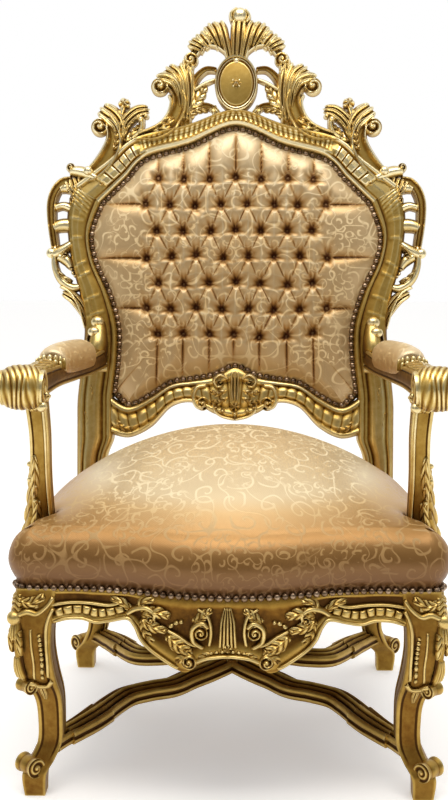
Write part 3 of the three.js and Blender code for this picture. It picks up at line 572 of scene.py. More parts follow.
edge = line(whole(APRON_EDGE), np.linspace(0, 1, 200))
x, drop = edge[np.abs(edge[:, 0]) < 316].T
apron = [rail(x, SEAT_FRONT + rail_face(x), drop, (0, -1), RAIL_THICK)]
half_apron = [
    # rolled edge of the arch, rising to the leg and curling under the pendant
    stroke([[308, 60, 8, 9], [282, 52, 8, 9], [254, 51, 8, 9], [230, 57, 8, 9], [206, 53, 8, 9], [174, 45, 9, 10],
            [160, 58, 9, 10], [150, 80, 9, 10], [134, 97, 9, 10], [106, 115, 9, 10], [84, 127, 9, 10]], rounded,
            on_apron, steps=110, across=9),
    stroke([[300, 44, 15, 7], [276, 37, 16, 8], [250, 36, 16, 8], [228, 41, 16, 8], [205, 38, 15, 8],
            [180, 30, 12, 7]],
           gadrooned(8), on_apron, steps=112, across=11, back=6),
    stroke([[312, 30, 7, 5], [276, 24, 7, 6], [240, 24, 7, 6], [206, 26, 7, 6], [182, 18, 6, 5]], rounded, on_apron,
           steps=60, across=7, back=6),
    # leaf cluster between the arch and the pendant
    stroke([[176, 40, 9, 8], [160, 28, 11, 10], [140, 24, 11, 11], [126, 34, 10, 10], [130, 46, 8, 8]], rounded,
           on_apron, across=9),
    volute(133, 44, 9, 13, on_apron, hand=-1),
    leaf([[150, 36, 14, 7], [122, 30, 22, 11], [98, 36, 12, 6]], on_apron, 4),
    leaf([[150, 44, 14, 7], [130, 56, 22, 10], [104, 62, 10, 5]], on_apron, 4),
    leaf([[152, 30, 12, 6], [146, 14, 16, 9], [124, 9, 8, 5]], on_apron, 3),
    leaf([[148, 48, 12, 6], [142, 70, 18, 9], [126, 88, 8, 5]], on_apron, 4),
    leaf([[168, 30, 12, 5], [184, 18, 16, 8], [204, 14, 8, 4]], on_apron, 3),
    # beside the pendant: beads, a leaf and the scroll that rolls into the middle
    string([[101, 55, 8, 6], [88, 46, 8, 6], [76, 43, 8, 6]], on_apron, 3, back=3),
    stroke([[104, 60, 6, 6], [86, 68, 7, 8], [66, 80, 7, 8], [52, 84, 6, 6]], rounded, on_apron, across=9),
    leaf([[104, 68, 16, 6], [86, 82, 28, 12], [66, 96, 16, 9]], on_apron, 4),
    leaf([[98, 88, 10, 5], [80, 94, 14, 8], [60, 92, 8, 5]], on_apron, 3),
    stroke([[40, 88, 8, 8], [58, 76, 10, 10], [60, 54, 10, 11], [44, 42, 10, 11], [32, 52, 9, 10]], rounded,
           on_apron, across=9),
    volute(46, 60, 13, 13, on_apron, hand=1),
    leaf([[58, 44, 12, 6], [40, 28, 18, 9], [26, 18, 8, 5]], on_apron, 4),
    stroke([[32, 84, 7, 8], [28, 56, 8, 10], [34, 30, 7, 8], [52, 18, 5, 5]], rounded, on_apron, across=9),
    volute(67, 112, 14, 15, on_apron, hand=-1),
    leaf([[58, 100, 12, 7], [76, 104, 20, 11], [92, 118, 12, 6]], on_apron, 3),
    leaf([[26, 92, 10, 7], [40, 100, 14, 10], [54, 108, 8, 6]], on_apron, 3),
]
apron += both(half_apron) + [
    stroke([[-56, 112, 8, 12], [-36, 103, 9, 13], [0, 98, 9, 14], [36, 103, 9, 13], [56, 112, 8, 12]], rounded,
           on_apron, steps=60, across=9),
    string([[-38, 96, 7, 9], [0, 90, 8, 11], [38, 96, 7, 9]], on_apron, 9, back=3),
    stroke([[0, 88, 34, 9], [0, 60, 30, 15], [0, 36, 26, 12], [0, 14, 12, 6]], fluted(5), on_apron, across=31),
    rosette(0, 84, 9, 16, on_apron, 5),
]
piece("carved_front_rail", apron, gilded_wood, ["front_rail"])


def on_side(y, down, w):
    """A point on the right side rail's face, y back from the seat's front line."""
    return np.stack([half_width(y) + w, SEAT_FRONT + y, RAIL_TOP - down + 0 * y], -1)


y = np.linspace(71, 546, 48)
along = (y - y[0]) / (y[-1] - y[0])
side_rail = [
    rail(half_width(y), SEAT_FRONT + y, RAIL_DROP * (1 - 0.16 * np.sin(np.pi * along)), (1, 0), RAIL_THICK),
    stroke([[96, 54, 12, 6], [180, 44, 14, 7], [260, 38, 14, 7], [290, 40, 12, 6]], gadrooned(13), on_side,
           steps=140, across=9, back=6),
    stroke([[524, 54, 12, 6], [440, 44, 14, 7], [360, 38, 14, 7], [330, 40, 12, 6]], gadrooned(13), on_side,
           steps=140, across=9, back=6),
    rosette(310, 40, 15, 8, on_side, 7),
    leaf([[296, 40, 14, 6], [270, 26, 20, 8], [240, 22, 8, 4]], on_side, 4),
    leaf([[324, 40, 14, 6], [350, 26, 20, 8], [380, 22, 8, 4]], on_side, 4),
]
piece("carved_side_rails", both(side_rail), gilded_wood, ["side_rail_left", "side_rail_right"])

x = np.linspace(-291, 291, 40)
piece("moulded_rear_rail", [rail(x, REAR_FACE + 0 * x, RAIL_DROP + 0 * x, (0, 1), REAR_THICK)],
      gilded_wood, ["rear_rail"])

# ------------------------------------------------------------------------------------------------
# Stretchers: four flat serpentine arms with three reeds and a hollow between each two, tenoned into the
# ankles and mitred together under the seat. A short collar of reeds steps out beside each leg.

MEET_Y, MEET_Z, LEG_Z = 352.0, 130.0, 84.0
WAY = [[-0.02, -0.02], [0.15, 0.13], [0.27, 0.22], [0.37, 0.31], [0.5, 0.33], [0.63, 0.38], [0.71, 0.5],
       [0.78, 0.65], [0.87, 0.8], [0.94, 0.9], [1, 1]]
REEDED = [[-0.8, -1], [-0.93, -0.9], [-1, -0.72], [-1, -0.55], [-0.9, -0.48], [-0.84, -0.36], [-0.86, -0.22],
          [-0.97, -0.14],
          [-1, 0.02], [-0.95, 0.3], [-0.8, 0.45], [-0.68, 0.38], [-0.6, 0.12], [-0.5, 0.1],
          [-0.42, 0.45], [-0.3, 0.62], [-0.18, 0.55], [-0.13, 0.45], [-0.08, 0.62], [0, 0.95], [0.08, 0.62],
          [0.13, 0.45], [0.18, 0.55], [0.3, 0.62], [0.42, 0.45], [0.5, 0.1], [0.6, 0.12], [0.68, 0.38], [0.8, 0.45],
          [0.95, 0.3], [1, 0.02], [0.97, -0.14], [0.86, -0.22], [0.84, -0.36], [0.9, -0.48], [1, -0.55], [1, -0.72],
          [0.93, -0.9], [0.8, -1]]


def sweep(rows, section, facing, steps, tone=None):
    """A section carried along rows of [x, y, z, width, depth]: its first number goes to the side and its
    second out towards the facing vector, at right angles to the way."""
    s = np.linspace(0, 1, steps + 1)
    at = line(rows, s)
    way = line(rows, np.clip(s + 0.01, 0, 1))[:, :3] - line(rows, np.clip(s - 0.01, 0, 1))[:, :3]
    side = np.cross(way, facing)
    side /= np.linalg.norm(side, axis=1)[:, None]
    out = np.cross(side, way)
    out /= np.linalg.norm(out, axis=1)[:, None]
    section = np.broadcast_to(np.asarray(section, float), (len(s), *np.shape(section)[-2:]))
    rings = (at[:, None, :3] + (section[..., :1] * at[:, None, 3:4] / 2) * side[:, None]
             + (section[..., 1:] * at[:, None, 4:5] / 2) * out[:, None])
    tone = 0.5 if tone is None else tone(s[:, None], section[..., 0], section[..., 1])
    return skin(rings, tone)


def reed_tone(s, a, b):
    """Painted light and shade on the stretchers: bright on the reeds and the outer arrises, dark in the hollows."""
    return 0.25 + 0.4 * np.clip(b, 0, 1) + 2.2 * np.clip(np.abs(a) - 0.86, 0, 1) + 0 * s


def stretcher(leg_x, leg_y):
    """The right arm from the middle to one leg, and the collar beside the leg."""
    def rows_of(way, width, deep):
        way = np.array(way)
        return np.stack([
            leg_x * way[:, 0], SEAT_FRONT + MEET_Y + (leg_y - MEET_Y) * way[:, 1],
            MEET_Z + (LEG_Z - MEET_Z) * np.clip(way[:, 0], 0, 1) ** 0.8, width + 0 * way[:, 0],
            deep + 0 * way[:, 0]], 1)
    arm = rows_of(WAY, 50, 36)
    arm[-2:, 3] = 38
    collar = rows_of([[0.76, 0.6], [0.82, 0.72], [0.88, 0.82], [0.93, 0.9]], 54, 38)
    collar[:, 3] = [57, 54, 48, 42]
    return [sweep(arm, REEDED, (0, 0, 1), 90, reed_tone), sweep(collar, REEDED, (0, 0, 1), 16, reed_tone)]


for name, leg_x, leg_y in [("front", 320, 56), ("rear", 308, 619.1)]:
    arms = stretcher(leg_x, leg_y)
    piece(f"reeded_{name}_stretchers", both(arms), gilded_wood,
          [f"{name}_stretcher_left", f"{name}_stretcher_right"])

# ------------------------------------------------------------------------------------------------
# Rear posts: each is one timber from the splayed foot to the shoulder of the back. Its stile is carved
# with wrapped leaves and flutes, and the pierced ear with its bars stands out beside it.

LEAN = np.radians(9)
FRAME_REAR = 38.0  # thickness of the back behind its plane


def on_back(u, v, w):
    """A point drawn in the plane of the back: u from the middle, v up the back, w in front of it. The
    plane leans back by LEAN from the rear of the seat."""
    return np.stack([
        u, SEAT_FRONT + 564 + v * np.sin(LEAN) - w * np.cos(LEAN), 400 + v * np.cos(LEAN) + w * np.sin(LEAN)], -1)


PANEL_SIDE = [[289, 640], [312, 575], [304, 515], [274, 447], [254, 375], [254, 305], [262, 235], [262, 205],
              [262, 175], [262, 150], [263, 132]]
STILE_EDGE = [[350, 676], [361, 605], [352, 515], [334, 447], [323, 375], [328, 305], [336, 235], [338, 205],
              [338, 175], [338, 150], [338, 132]]


def between(inner, outer, relief, steps=120, across=25, back=FRAME_REAR, span=(0, 1)):
    """A moulded frame between two smooth lines: at share s along both and share a from the inner line
    to the outer one, the point lies a of the way across and relief(s, a) mm in front of the plane. Its
    rear is toned halfway."""
    s = np.linspace(*span, steps + 1)
    first, last = line(inner, s), line(outer, s)
    share, a = np.meshgrid(s, np.linspace(0, 1, across), indexing="ij")
    u, v = (first[:, None, k] + (last - first)[:, None, k] * a for k in (0, 1))
    w = relief(share, a)
    u, v = (np.hstack([k, k[:, -1:], k[:, :1]]) for k in (u, v))
    w = np.hstack([w, np.full((len(s), 2), -back)])
    # Painted shade: the face is toned paler the further it stands forward and darker near the plane
    return skin(on_back(u, v, w), np.where(w < 0, 0.5, np.clip(0.2 + (w - 4) / 30, 0.1, 0.8)))


def window(s, low, high, soft=0.015):
    """1 between two shares of the way and 0 outside them, with soft edges."""
    return np.clip((s - low) / soft, 0, 1) * np.clip((high - s) / soft, 0, 1)


STILE_INNER = PANEL_SIDE + [[277, 90], [278, 15]]
STILE_OUTER = STILE_EDGE + [[338, 90], [338, 15]]


def stile_relief(s, a):
    """A fillet beside the nails, then a round face: fine flutes below the shoulder, thin bright ridges
    across it, and further down a channel along each side."""
    shape = np.interp(a, [0, 0.06, 0.13, 0.18, 0.28, 0.5, 0.74, 0.88, 0.95, 1],
                      [11, 15, 16, 13, 15.5, 20, 20.5, 17, 12, 5])
    flutes = 1.8 * np.abs(np.sin(np.pi * (95 * s + 1.5 * a))) * window(s, 0.0, 0.06) * window(a, 0.22, 0.9, 0.06)
    level = s - 0.024 * (a - 0.5)
    ridges = sum(np.exp(-(((level - at) / 0.0034) ** 2)) for at in (0.068, 0.112, 0.172, 0.2, 0.26, 0.3))
    channel = -4.5 * np.exp(-(((a - 0.3) / 0.05) ** 2)) - 4.5 * np.exp(-(((a - 0.78) / 0.05) ** 2))
    return shape + flutes + 1.2 * ridges * window(a, 0.26, 0.93, 0.07) + channel * window(s, 0.36, 1.2, 0.04)


POST_X, POST_PLANE = 308.0, -13.0
rear_top = on_back(POST_X, -89.0, POST_PLANE)
foot_x, foot_y = rear_top[0] + 27, rear_top[1] + 78


def post_axis(v):
    """Row of the rear post where it follows the back's plane."""
    return [*on_back(POST_X, v, POST_PLANE), 60, 50]


rear_leg_rows = [
    [foot_x, foot_y, 0, 37, 37], [foot_x, foot_y, 40, 43, 43], [rear_top[0] + 8, rear_top[1] + 62.4, 68, 44, 44],
    [rear_top[0] - 8, rear_top[1] + 42.9, 119, 44, 44], [rear_top[0] - 6, rear_top[1] + 23.4, 192, 50, 48],
    [rear_top[0], rear_top[1] + 4, 311, 60, 50], post_axis(0), [*post_axis(110)[:3], 52, 42],
    [*post_axis(200)[:3], 48, 38],
]
stile = between(STILE_INNER, STILE_OUTER, stile_relief, steps=320, across=29)
# The stile is toned down, and painted brighter towards the seat: painted light where the arms and seat shade it
painted_fill = 0.35 * np.clip((760 - stile[0][:, 2]) / 200, 0, 1)
timber = post(rear_leg_rows, 90, lambda z: 0.09 * np.clip((z - 66) / 30, 0, 1) * np.clip((290 - z) / 40, 0, 1))
rear_post = [
    (*stile[:3], stile[3] - 0.19 + painted_fill),
    # Painted light: the post's timber is toned a little brighter, where the seat and arms shade it
    (*timber[:3], timber[3] + 0.1),
    roll((foot_x + 8, foot_y + 8, 54), (1, -1, 0), 18, 41, ribs=2, rib=1.2),
    # the ear: one long bow, its lower return, the leaf under it and the bars between the holes
    stroke([[350, 688, 18, 12], [370, 683, 22, 15], [386, 664, 23, 17], [394, 638, 22, 17], [394, 602, 20, 17],
            [390, 568, 19, 16],
            [386, 542, 18, 14]], rimmed, on_back, steps=80, across=17, back=16),
    stroke([[348, 668, 20, 12], [362, 672, 24, 14], [376, 668, 16, 14]], rounded, on_back, steps=30, back=14),
    stroke([[386, 550, 10, 11], [388, 510, 14, 12], [375, 476, 17, 12], [348, 458, 18, 12], [322, 466, 12, 10]],
           rounded, on_back, steps=60, across=13, back=16),
    leaf([[384, 500, 8, 12], [372, 482, 14, 15], [350, 470, 10, 13]], on_back, 3, back=2),
    plume([[316, 380, 10, 10], [326, 408, 22, 15], [344, 434, 26, 16], [366, 448, 22, 12]], on_back, 3, 6, back=16),
    stroke([[376, 462, 8, 10], [352, 446, 8, 14], [334, 414, 7, 16], [322, 372, 5, 12]], rounded, on_back, across=9,
           back=4),
    plume([[330, 652, 24, 18], [342, 668, 36, 22], [350, 690, 40, 18]], on_back, 4, 3, back=14),
    stroke([[344, 620, 18, 14], [358, 630, 20, 16], [372, 633, 18, 16], [388, 628, 16, 15]], rounded, on_back,
           steps=24, back=12),
    stroke([[346, 590, 30, 14], [364, 592, 30, 16], [378, 590, 28, 16], [390, 584, 22, 15]], rounded, on_back,
           steps=24, back=12),
    stroke([[346, 556, 16, 15], [362, 544, 22, 18], [378, 534, 24, 18], [392, 528, 16, 14]], rounded, on_back,
           steps=30, back=12),
    stroke([[352, 500, 14, 14], [362, 516, 24, 17], [380, 526, 20, 16]], rounded, on_back, steps=24, back=12),
    stroke([[346, 552, 5, 20], [362, 538, 6, 23], [374, 522, 5, 20]], rounded, on_back, across=7, back=4),
    volute(366, 524, 10, 22, on_back, hand=1, back=8),
    string([[352, 500, 9, 14], [346, 486, 8, 14], [334, 476, 7, 14]], on_back, 4, back=4),
    knob(on_back(394.5, 532.0, 6.0), 11),
    volute(347, 645, 10, 25, on_back, hand=-1, back=4),
    button(346, 628, 6, 20, on_back, back=2),
    button(343, 606, 5, 17, on_back, back=2),
    # leaves on the stile between the arm and the ear, and down to the seat
    leaf([[310, 440, 20, 19], [306, 410, 16, 20], [300, 398, 8, 18]], on_back, 4, back=2),
    leaf([[312, 262, 22, 17], [304, 236, 26, 22], [308, 204, 10, 18]], on_back, 5, steps=50, back=2),
    leaf([[322, 196, 14, 17], [314, 174, 16, 20], [316, 152, 8, 17]], on_back, 4, back=2),
    # boss that the arm is tenoned into
    stroke([[292, 278, 36, 21], [292, 290, 38, 22], [292, 332, 38, 22], [292, 344, 36, 21]],
           lambda s, a: 1 - 0.14 * np.abs(a) ** 6 - 0.1 * (1 - ends(s, 0.2)), on_back, steps=30, back=34),
]
piece("carved_rear_posts", both(rear_post), gilded_wood, ["rear_post_left", "rear_post_right"])

# ------------------------------------------------------------------------------------------------
# Lower rail of the back: a gadrooned serpentine rail that joins the posts, with a shell between two
# volutes in the middle, carved in the same piece.

PANEL_FOOT = [[0, 287], [45, 268], [90, 260], [137, 252], [180, 225], [228, 204], [268, 226]]
LOWER_EDGE = [[0, 176], [45, 190], [90, 213], [137, 203], [180, 160], [225, 138], [268, 146]]


def lower_relief(s, a):
    """A roll under the nails, long gadroons across the face and a round bead along the lower edge."""
    shape = np.interp(a, [0, 0.06, 0.16, 0.22, 0.4, 0.66, 0.78, 0.86, 0.93, 1],
                      [11, 16, 17, 12, 17, 18, 14, 19, 18, 6])
    s = np.abs(2 * s - 1)
    lobes = 2.8 * (np.abs(np.sin(np.pi * (14 * s + 0.6 * a))) ** 0.8 - 1)
    return shape + lobes * window(a, 0.2, 0.8, 0.05)


half_lower = [
    volute(69, 212, 16, 28, on_back, hand=1),
    stroke([[58, 250, 12, 20], [80, 246, 14, 24], [88, 226, 13, 26], [80, 206, 12, 26], [66, 202, 10, 24]], rounded,
           on_back),
    stroke([[12, 262, 10, 22], [30, 272, 11, 26], [44, 262, 11, 26], [38, 248, 10, 24], [26, 250, 8, 22]], rounded,
           on_back),
    volute(31, 257, 9, 28, on_back, hand=-1, back=4),
    leaf([[14, 240, 16, 18], [38, 232, 20, 26], [54, 240, 12, 20]], on_back, 4),
    leaf([[12, 226, 18, 18], [34, 214, 22, 27], [52, 220, 10, 20]], on_back, 4),
    stroke([[46, 214, 8, 22], [42, 196, 8, 25], [26, 184, 8, 26], [0, 178, 8, 27]], rounded, on_back),
    button(26, 196, 7, 30, on_back),
    button(40, 203, 5, 27, on_back),
    leaf([[255, 178, 12, 18], [238, 160, 20, 24], [214, 158, 10, 18]], on_back, 4),
]
lower = both(half_lower) + [
    between(whole(PANEL_FOOT), whole(LOWER_EDGE), lower_relief, steps=380, span=(0.0125, 0.9875)),
    stroke([[0, 282, 22, 20], [0, 262, 22, 26], [0, 234, 20, 27], [0, 214, 14, 24]], fluted(3), on_back, across=25),
    rosette(0, 205, 13, 32, on_back, 5),
    button(0, 190, 8, 31, on_back),
]
# Painted light: the whole lower rail is toned brighter, where the arms and seat shade it
lower = [(*shell[:3], shell[3] + 0.16) for shell in lower]
piece("carved_lower_back_rail", lower, gilded_wood, ["lower_back_rail"])

# ------------------------------------------------------------------------------------------------
# Crest rail: one board, pierced and carved with great scrolls, plumes and a fan of leaves round an oval
# medallion, over the moulded frame that holds the top of the upholstery.

PANEL_TOP = [[0, 802], [100, 763], [193, 735], [236, 692], [289, 640]]
CREST_EDGE = [[0, 838], [104, 806], [214, 780], [276, 730], [350, 676]]


def crest_relief(s, a):
    """A bright smooth roll beside the nails, then square lobes up the shoulder and a deep gadrooned
    hollow over the top, and a fluted outer rim."""
    s = 1 - np.abs(2 * s - 1)
    slope = np.interp(a, [0, 0.05, 0.13, 0.19, 0.24, 0.46, 0.66, 0.74, 0.84, 0.93, 1],
                      [12, 17, 18, 13, 14, 17, 15, 14, 20, 19, 6])
    hollow = np.interp(a, [0, 0.08, 0.24, 0.36, 0.44, 0.6, 0.74, 0.84, 0.9, 0.96, 1],
                       [12, 21, 23, 15, 12, 11, 13, 17, 21, 18, 6])
    over = np.clip((s - 0.47) / 0.06, 0, 1)
    squares = 4 * np.clip(np.abs(np.sin(np.pi * 16 * s)) * 2.2, 0, 1) * window(s, 0.125, 0.47, 0.02)
    lobes = 1.8 * np.abs(np.sin(np.pi * (38 * s - 1.2 * a))) ** 1.3 * window(s, 0.5, 2.0, 0.03)
    carved = squares * window(a, 0.22, 0.7, 0.03) + lobes * window(a, 0.34, 0.86, 0.08)
    return slope * (1 - over) + hollow * over + carved


half_crest = [
    # great scroll beside the middle, and the ribbon that runs from its root down to the shoulder
    stroke([[230, 772, 14, 20], [204, 782, 22, 24], [172, 786, 32, 25], [140, 806, 38, 26], [121, 846, 37, 26],
            [127, 876, 30, 25],
            [148, 896, 22, 22], [168, 900, 14, 18]], rimmed, on_back, steps=110, across=21, back=16),
    volute(163, 886, 19, 31, on_back, hand=-1, back=8),
    stroke([[212, 784, 7, 27], [168, 802, 9, 30], [146, 824, 10, 31], [138, 852, 9, 30], [144, 868, 6, 27]], rounded,
           on_back, steps=50, across=9, back=2),
    leaf([[180, 790, 12, 20], [152, 800, 18, 26], [132, 822, 12, 24]], on_back, 4, back=2),
    # great scroll at the shoulder, hollow between its rims, and its volutes
    stroke([[326, 690, 26, 20], [300, 706, 38, 25], [274, 736, 44, 27], [260, 770, 40, 27], [266, 800, 28, 24],
            [284, 815, 18, 20]],
           rimmed, on_back, steps=90, across=25, back=16),
    volute(291, 800, 19, 31, on_back, hand=-1, back=8),
    volute(285, 681, 10, 24, on_back, hand=1, back=8),
    leaf([[262, 748, 10, 20], [254, 768, 16, 27], [256, 794, 10, 24]], on_back, 4, steps=50, back=2),
    # leaves that rise between the scrolls, under a bead and a flower
    plume([[250, 770, 18, 22], [250, 800, 34, 27], [264, 822, 44, 25], [284, 838, 40, 17]], on_back, 3, 10, back=14),
    plume([[246, 776, 18, 20], [236, 808, 28, 25], [212, 832, 30, 22], [192, 838, 24, 15]], on_back, 3, 8, back=12),
    leaf([[236, 766, 16, 20], [218, 790, 16, 22], [206, 806, 8, 18]], on_back, 4, back=12),
    stroke([[222, 776, 10, 20], [204, 792, 12, 22], [200, 812, 12, 22]], rounded, on_back, back=10),
    button(203, 816, 9, 24, on_back, back=8),
    button(192, 824, 6, 20, on_back, back=8),
    rosette(239, 850, 13, 25, on_back, 5, back=10),
    stroke([[246, 826, 14, 16], [240, 848, 14, 16]], rounded, on_back, steps=16, back=12),
    # the broad leaf over the side scroll, in three plumes
    plume([[106, 812, 18, 18], [102, 860, 28, 24], [106, 904, 36, 24], [116, 930, 38, 14]], on_back, 3, 10, back=14),
    plume([[114, 840, 16, 20], [118, 884, 28, 27], [130, 910, 36, 25], [144, 924, 34, 14]], on_back, 3, 10, back=14),
    plume([[118, 860, 14, 22], [130, 892, 26, 29], [150, 904, 28, 25], [166, 906, 22, 14]], on_back, 2, 8, back=14),
    # plain block over the joint with the post, with a curl at its outer end and a ball at its inner one
    stroke([[296, 690, 20, 20], [316, 700, 26, 23], [338, 706, 26, 22], [356, 706, 18, 18]], rounded, on_back,
           steps=40, back=14),
    volute(353, 714, 10, 24, on_back, hand=-1, back=14),
    knob(on_back(314.0, 705.0, 24.0), 10),
    # stems that hold the medallion
    stroke([[108, 800, 26, 14], [103, 858, 22, 16], [88, 900, 18, 16], [66, 922, 15, 15], [42, 922, 12, 14]], rimmed,
           on_back, steps=70, across=15, back=14),
    leaf([[102, 820, 16, 14], [86, 852, 30, 18], [70, 880, 18, 13], [64, 898, 8, 10]], on_back, 6, steps=60, back=8),
    stroke([[94, 876, 8, 14], [68, 892, 10, 15], [44, 902, 8, 13]], rounded, on_back, across=9, back=10),
    stroke([[116, 814, 20, 14], [84, 842, 18, 15], [54, 843, 15, 15], [34, 822, 14, 15], [26, 800, 12, 14]], rimmed,
           on_back, steps=60, across=15, back=14),
    leaf([[104, 824, 10, 16], [82, 836, 14, 20], [60, 836, 8, 16]], on_back, 4, back=4),
    leaf([[52, 846, 16, 12], [42, 826, 18, 17], [44, 808, 10, 12]], on_back, 3, back=8),
    plume([[100, 892, 16, 14], [103, 920, 24, 18], [102, 944, 28, 14]], on_back, 3, 6, back=12),
    # arch of leaves under the fan, and the fan's leaves
    stroke([[97, 946, 18, 15], [84, 964, 18, 17], [62, 979, 18, 18], [38, 976, 18, 18], [18, 960, 16, 17],
            [6, 940, 12, 16]], rimmed, on_back, steps=60, across=15, back=14),
    volute(97, 944, 16, 25, on_back, hand=1, back=12),
    plume([[68, 964, 18, 18], [82, 972, 26, 24], [95, 980, 30, 15]], on_back, 3, 9, back=12),
    plume([[56, 970, 18, 18], [68, 984, 28, 26], [77, 997, 30, 15]], on_back, 2, 9, back=12),
    plume([[34, 968, 16, 18], [42, 986, 28, 28], [50, 1004, 38, 25], [56, 1015, 38, 14]], on_back, 3, 10, back=12),
    plume([[14, 942, 14, 20], [22, 976, 20, 29], [30, 1006, 24, 25], [36, 1022, 22, 14]], on_back, 2, 7, back=12),
    string([[50, 976, 7, 24], [58, 986, 8, 27], [64, 996, 7, 24]], on_back, 3, back=4),
]


def medal(r, t):
    """Face of the medallion: a flat rim, a groove, a raised bead, and a field that domes gently."""
    rim = np.interp(r, [0, 0.74, 0.79, 0.81, 0.835, 0.86, 0.885, 0.91, 0.96, 1],
                    [0.74, 0.74, 0.66, 0.62, 0.84, 0.86, 0.72, 0.98, 1.0, 0.7]) + 0 * t
    return rim + 0.14 * np.clip(1 - (r / 0.76) ** 2, 0, 1)


field = disc(0, 892, 46, 21, on_back, medal, back=14, rings=48, count=64,
             outline=lambda t: 61 / np.hypot(61 * np.cos(t), 46 * np.sin(t)))
crest = both(half_crest) + [
    (*field[:3], 0.52 * field[3]),
    between(whole(PANEL_TOP), whole(CREST_EDGE), crest_relief, steps=620, across=31),
    rosette(0, 892, 21, 23.5, on_back, 8, back=2),
    plume([[0, 938, 20, 20], [2, 966, 30, 28], [4, 1000, 34, 30], [6, 1026, 34, 22]], on_back, 3, 5, back=16),
    knob(on_back(7.0, 1036.0, 8.0), 17.5),
    stroke([[-9, 1022, 8, 20], [-12, 1040, 9, 22], [2, 1052, 9, 20]], rounded, on_back, across=9, back=8),
    stroke([[20, 1020, 8, 20], [27, 1036, 8, 20], [18, 1049, 8, 20]], rounded, on_back, across=9, back=8),
    button(0, 940, 10, 20, on_back),
]
piece("carved_crest_rail", crest, gilded_wood, ["crest_rail"])

# ------------------------------------------------------------------------------------------------
# Arm supports and arms: each support stands on the side rail behind the front corner, leans forwards
# in an S with an acanthus leaf at its foot, and carries the arm, which ends in a ribbed roll.

SUPPORT_X, SUPPORT_Y, SUPPORT_REACH, ARM_TOP = 336.7, 150.0, 90.0, 739.0


def support_row(share, back, inward, width):
    """[x, y, z, width, depth] of the support at a share of its height."""
    y = SEAT_FRONT + SUPPORT_Y - SUPPORT_REACH * back
    return [SUPPORT_X - inward, y, RAIL_TOP + (ARM_TOP - RAIL_TOP) * share, width, width]


support_rows = [support_row(0, 0, 0, 40), support_row(0.2, 0.1, 0, 36), support_row(0.5, 0.62, 4, 34),
                support_row(0.75, 0.92, 8, 34), support_row(0.97, 1, 2, 38)]


def support_at(z):
    """Middle x, middle y and width of the support at a height."""
    rows = line(support_rows, np.linspace(0, 1, 200))
    return [np.interp(z, rows[:, 2], rows[:, k]) for k in (0, 1, 3)]


def support_front(u, z, w):
    """A point on the support's front face, u outwards, w over it."""
    x, y, width = support_at(z)
    return np.stack([x + u, y - width / 2 - w, z + 0 * u], -1)


def support_side(u, z, w):
    """A point on the support's outer face, u forwards, w over it."""
    x, y, width = support_at(z)
    return np.stack([x + width / 2 + w, y - u, z + 0 * u], -1)


arm_support = [
    post(support_rows, 70, lambda z: 0.12 * np.clip((z - 470) / 40, 0, 1) * np.clip((715 - z) / 20, 0, 1)),
    leaf([[2, 386, 40, 26], [2, 420, 46, 28], [-2, 462, 40, 21], [-5, 514, 28, 13], [-6, 560, 18, 8],
          [-6, 596, 7, 4]], support_side, 7, steps=90, across=17, back=10),
    plume([[14, 470, 12, 8], [16, 440, 20, 20], [16, 410, 28, 30], [16, 390, 26, 28]], support_side, 3, 5, back=10),
    knob([SUPPORT_X + 38, SEAT_FRONT + SUPPORT_Y - 22, 402], 9),
    button(6, 560, 7, 8, support_side, back=4),
    button(4, 590, 6, 8, support_side, back=4),
    stroke([[-10, 470, 6, 5], [-6, 448, 8, 7], [8, 428, 9, 9], [26, 410, 9, 9], [34, 396, 8, 8]], rounded,
           support_front, across=9, back=8),
    stroke([[-12, 424, 6, 5], [0, 412, 8, 7], [16, 400, 8, 8], [26, 390, 8, 7]], rounded, support_front, across=9,
           back=8),
    leaf([[6, 520, 8, 5], [10, 490, 16, 7], [16, 456, 18, 8], [30, 428, 10, 6]], support_front, 5, steps=60, back=8),
    stroke([[-14, 400, 5, 4], [-14, 470, 5, 4], [-12, 560, 5, 4], [-11, 640, 5, 4], [-12, 706, 5, 3]], rounded,
           support_front, across=7, back=4),
    leaf([[10, 610, 6, 4], [8, 580, 14, 7], [10, 548, 14, 7], [12, 524, 6, 4]], support_front, 4, back=4),
    button(10, 520, 5, 8, support_front, back=4),
    button(8, 550, 4, 7, support_front, back=4),
    leaf([[0, 690, 20, 4], [0, 712, 30, 10], [4, 728, 20, 8]], support_front, 3, back=6),
]
piece("carved_arm_supports", both(arm_support), gilded_wood, ["arm_support_left", "arm_support_right"])

HAND_REST = np.array([345.0, SEAT_FRONT + 1.0, 739.0])
ARM_END = on_back(292.0, 310.8, 0.0)


def arm_row(share, lift, width, depth):
    """Row of the arm at a share of the way from the hand rest to the stile, lifted off that line."""
    at = HAND_REST + (ARM_END - HAND_REST) * share
    return [at[0], at[1], at[2] + lift, width, depth]


arm_rows = [arm_row(0, 0, 52, 52), arm_row(0.25, 3, 46, 40), arm_row(0.5, 1, 46, 40), arm_row(0.75, -3, 46, 38),
            arm_row(0.975, 0, 44, 42)]
ARM_SECTION = moulded_square(np.array([0.13]))[0]
# Half section of a bolster, round over the top and flat below
PAD_SECTION = np.array([[-0.88, -1], [-0.97, -0.7], [-1, -0.3], [-0.96, 0.1], [-0.84, 0.45], [-0.64, 0.72],
                        [-0.35, 0.92], [0, 1],
                        [0.35, 0.92], [0.64, 0.72], [0.84, 0.45], [0.96, 0.1], [1, -0.3], [0.97, -0.7], [0.88, -1]])


def on_arm(u, y, w):
    """A point on top of the arm, u outwards from its middle at y, w over it."""
    rows = line(arm_rows, np.linspace(0, 1, 200))
    x, z, deep = (np.interp(y, rows[:, 1], rows[:, k]) for k in (0, 2, 4))
    return np.stack([x + u, y + 0 * u, z + deep / 2 + w], -1)


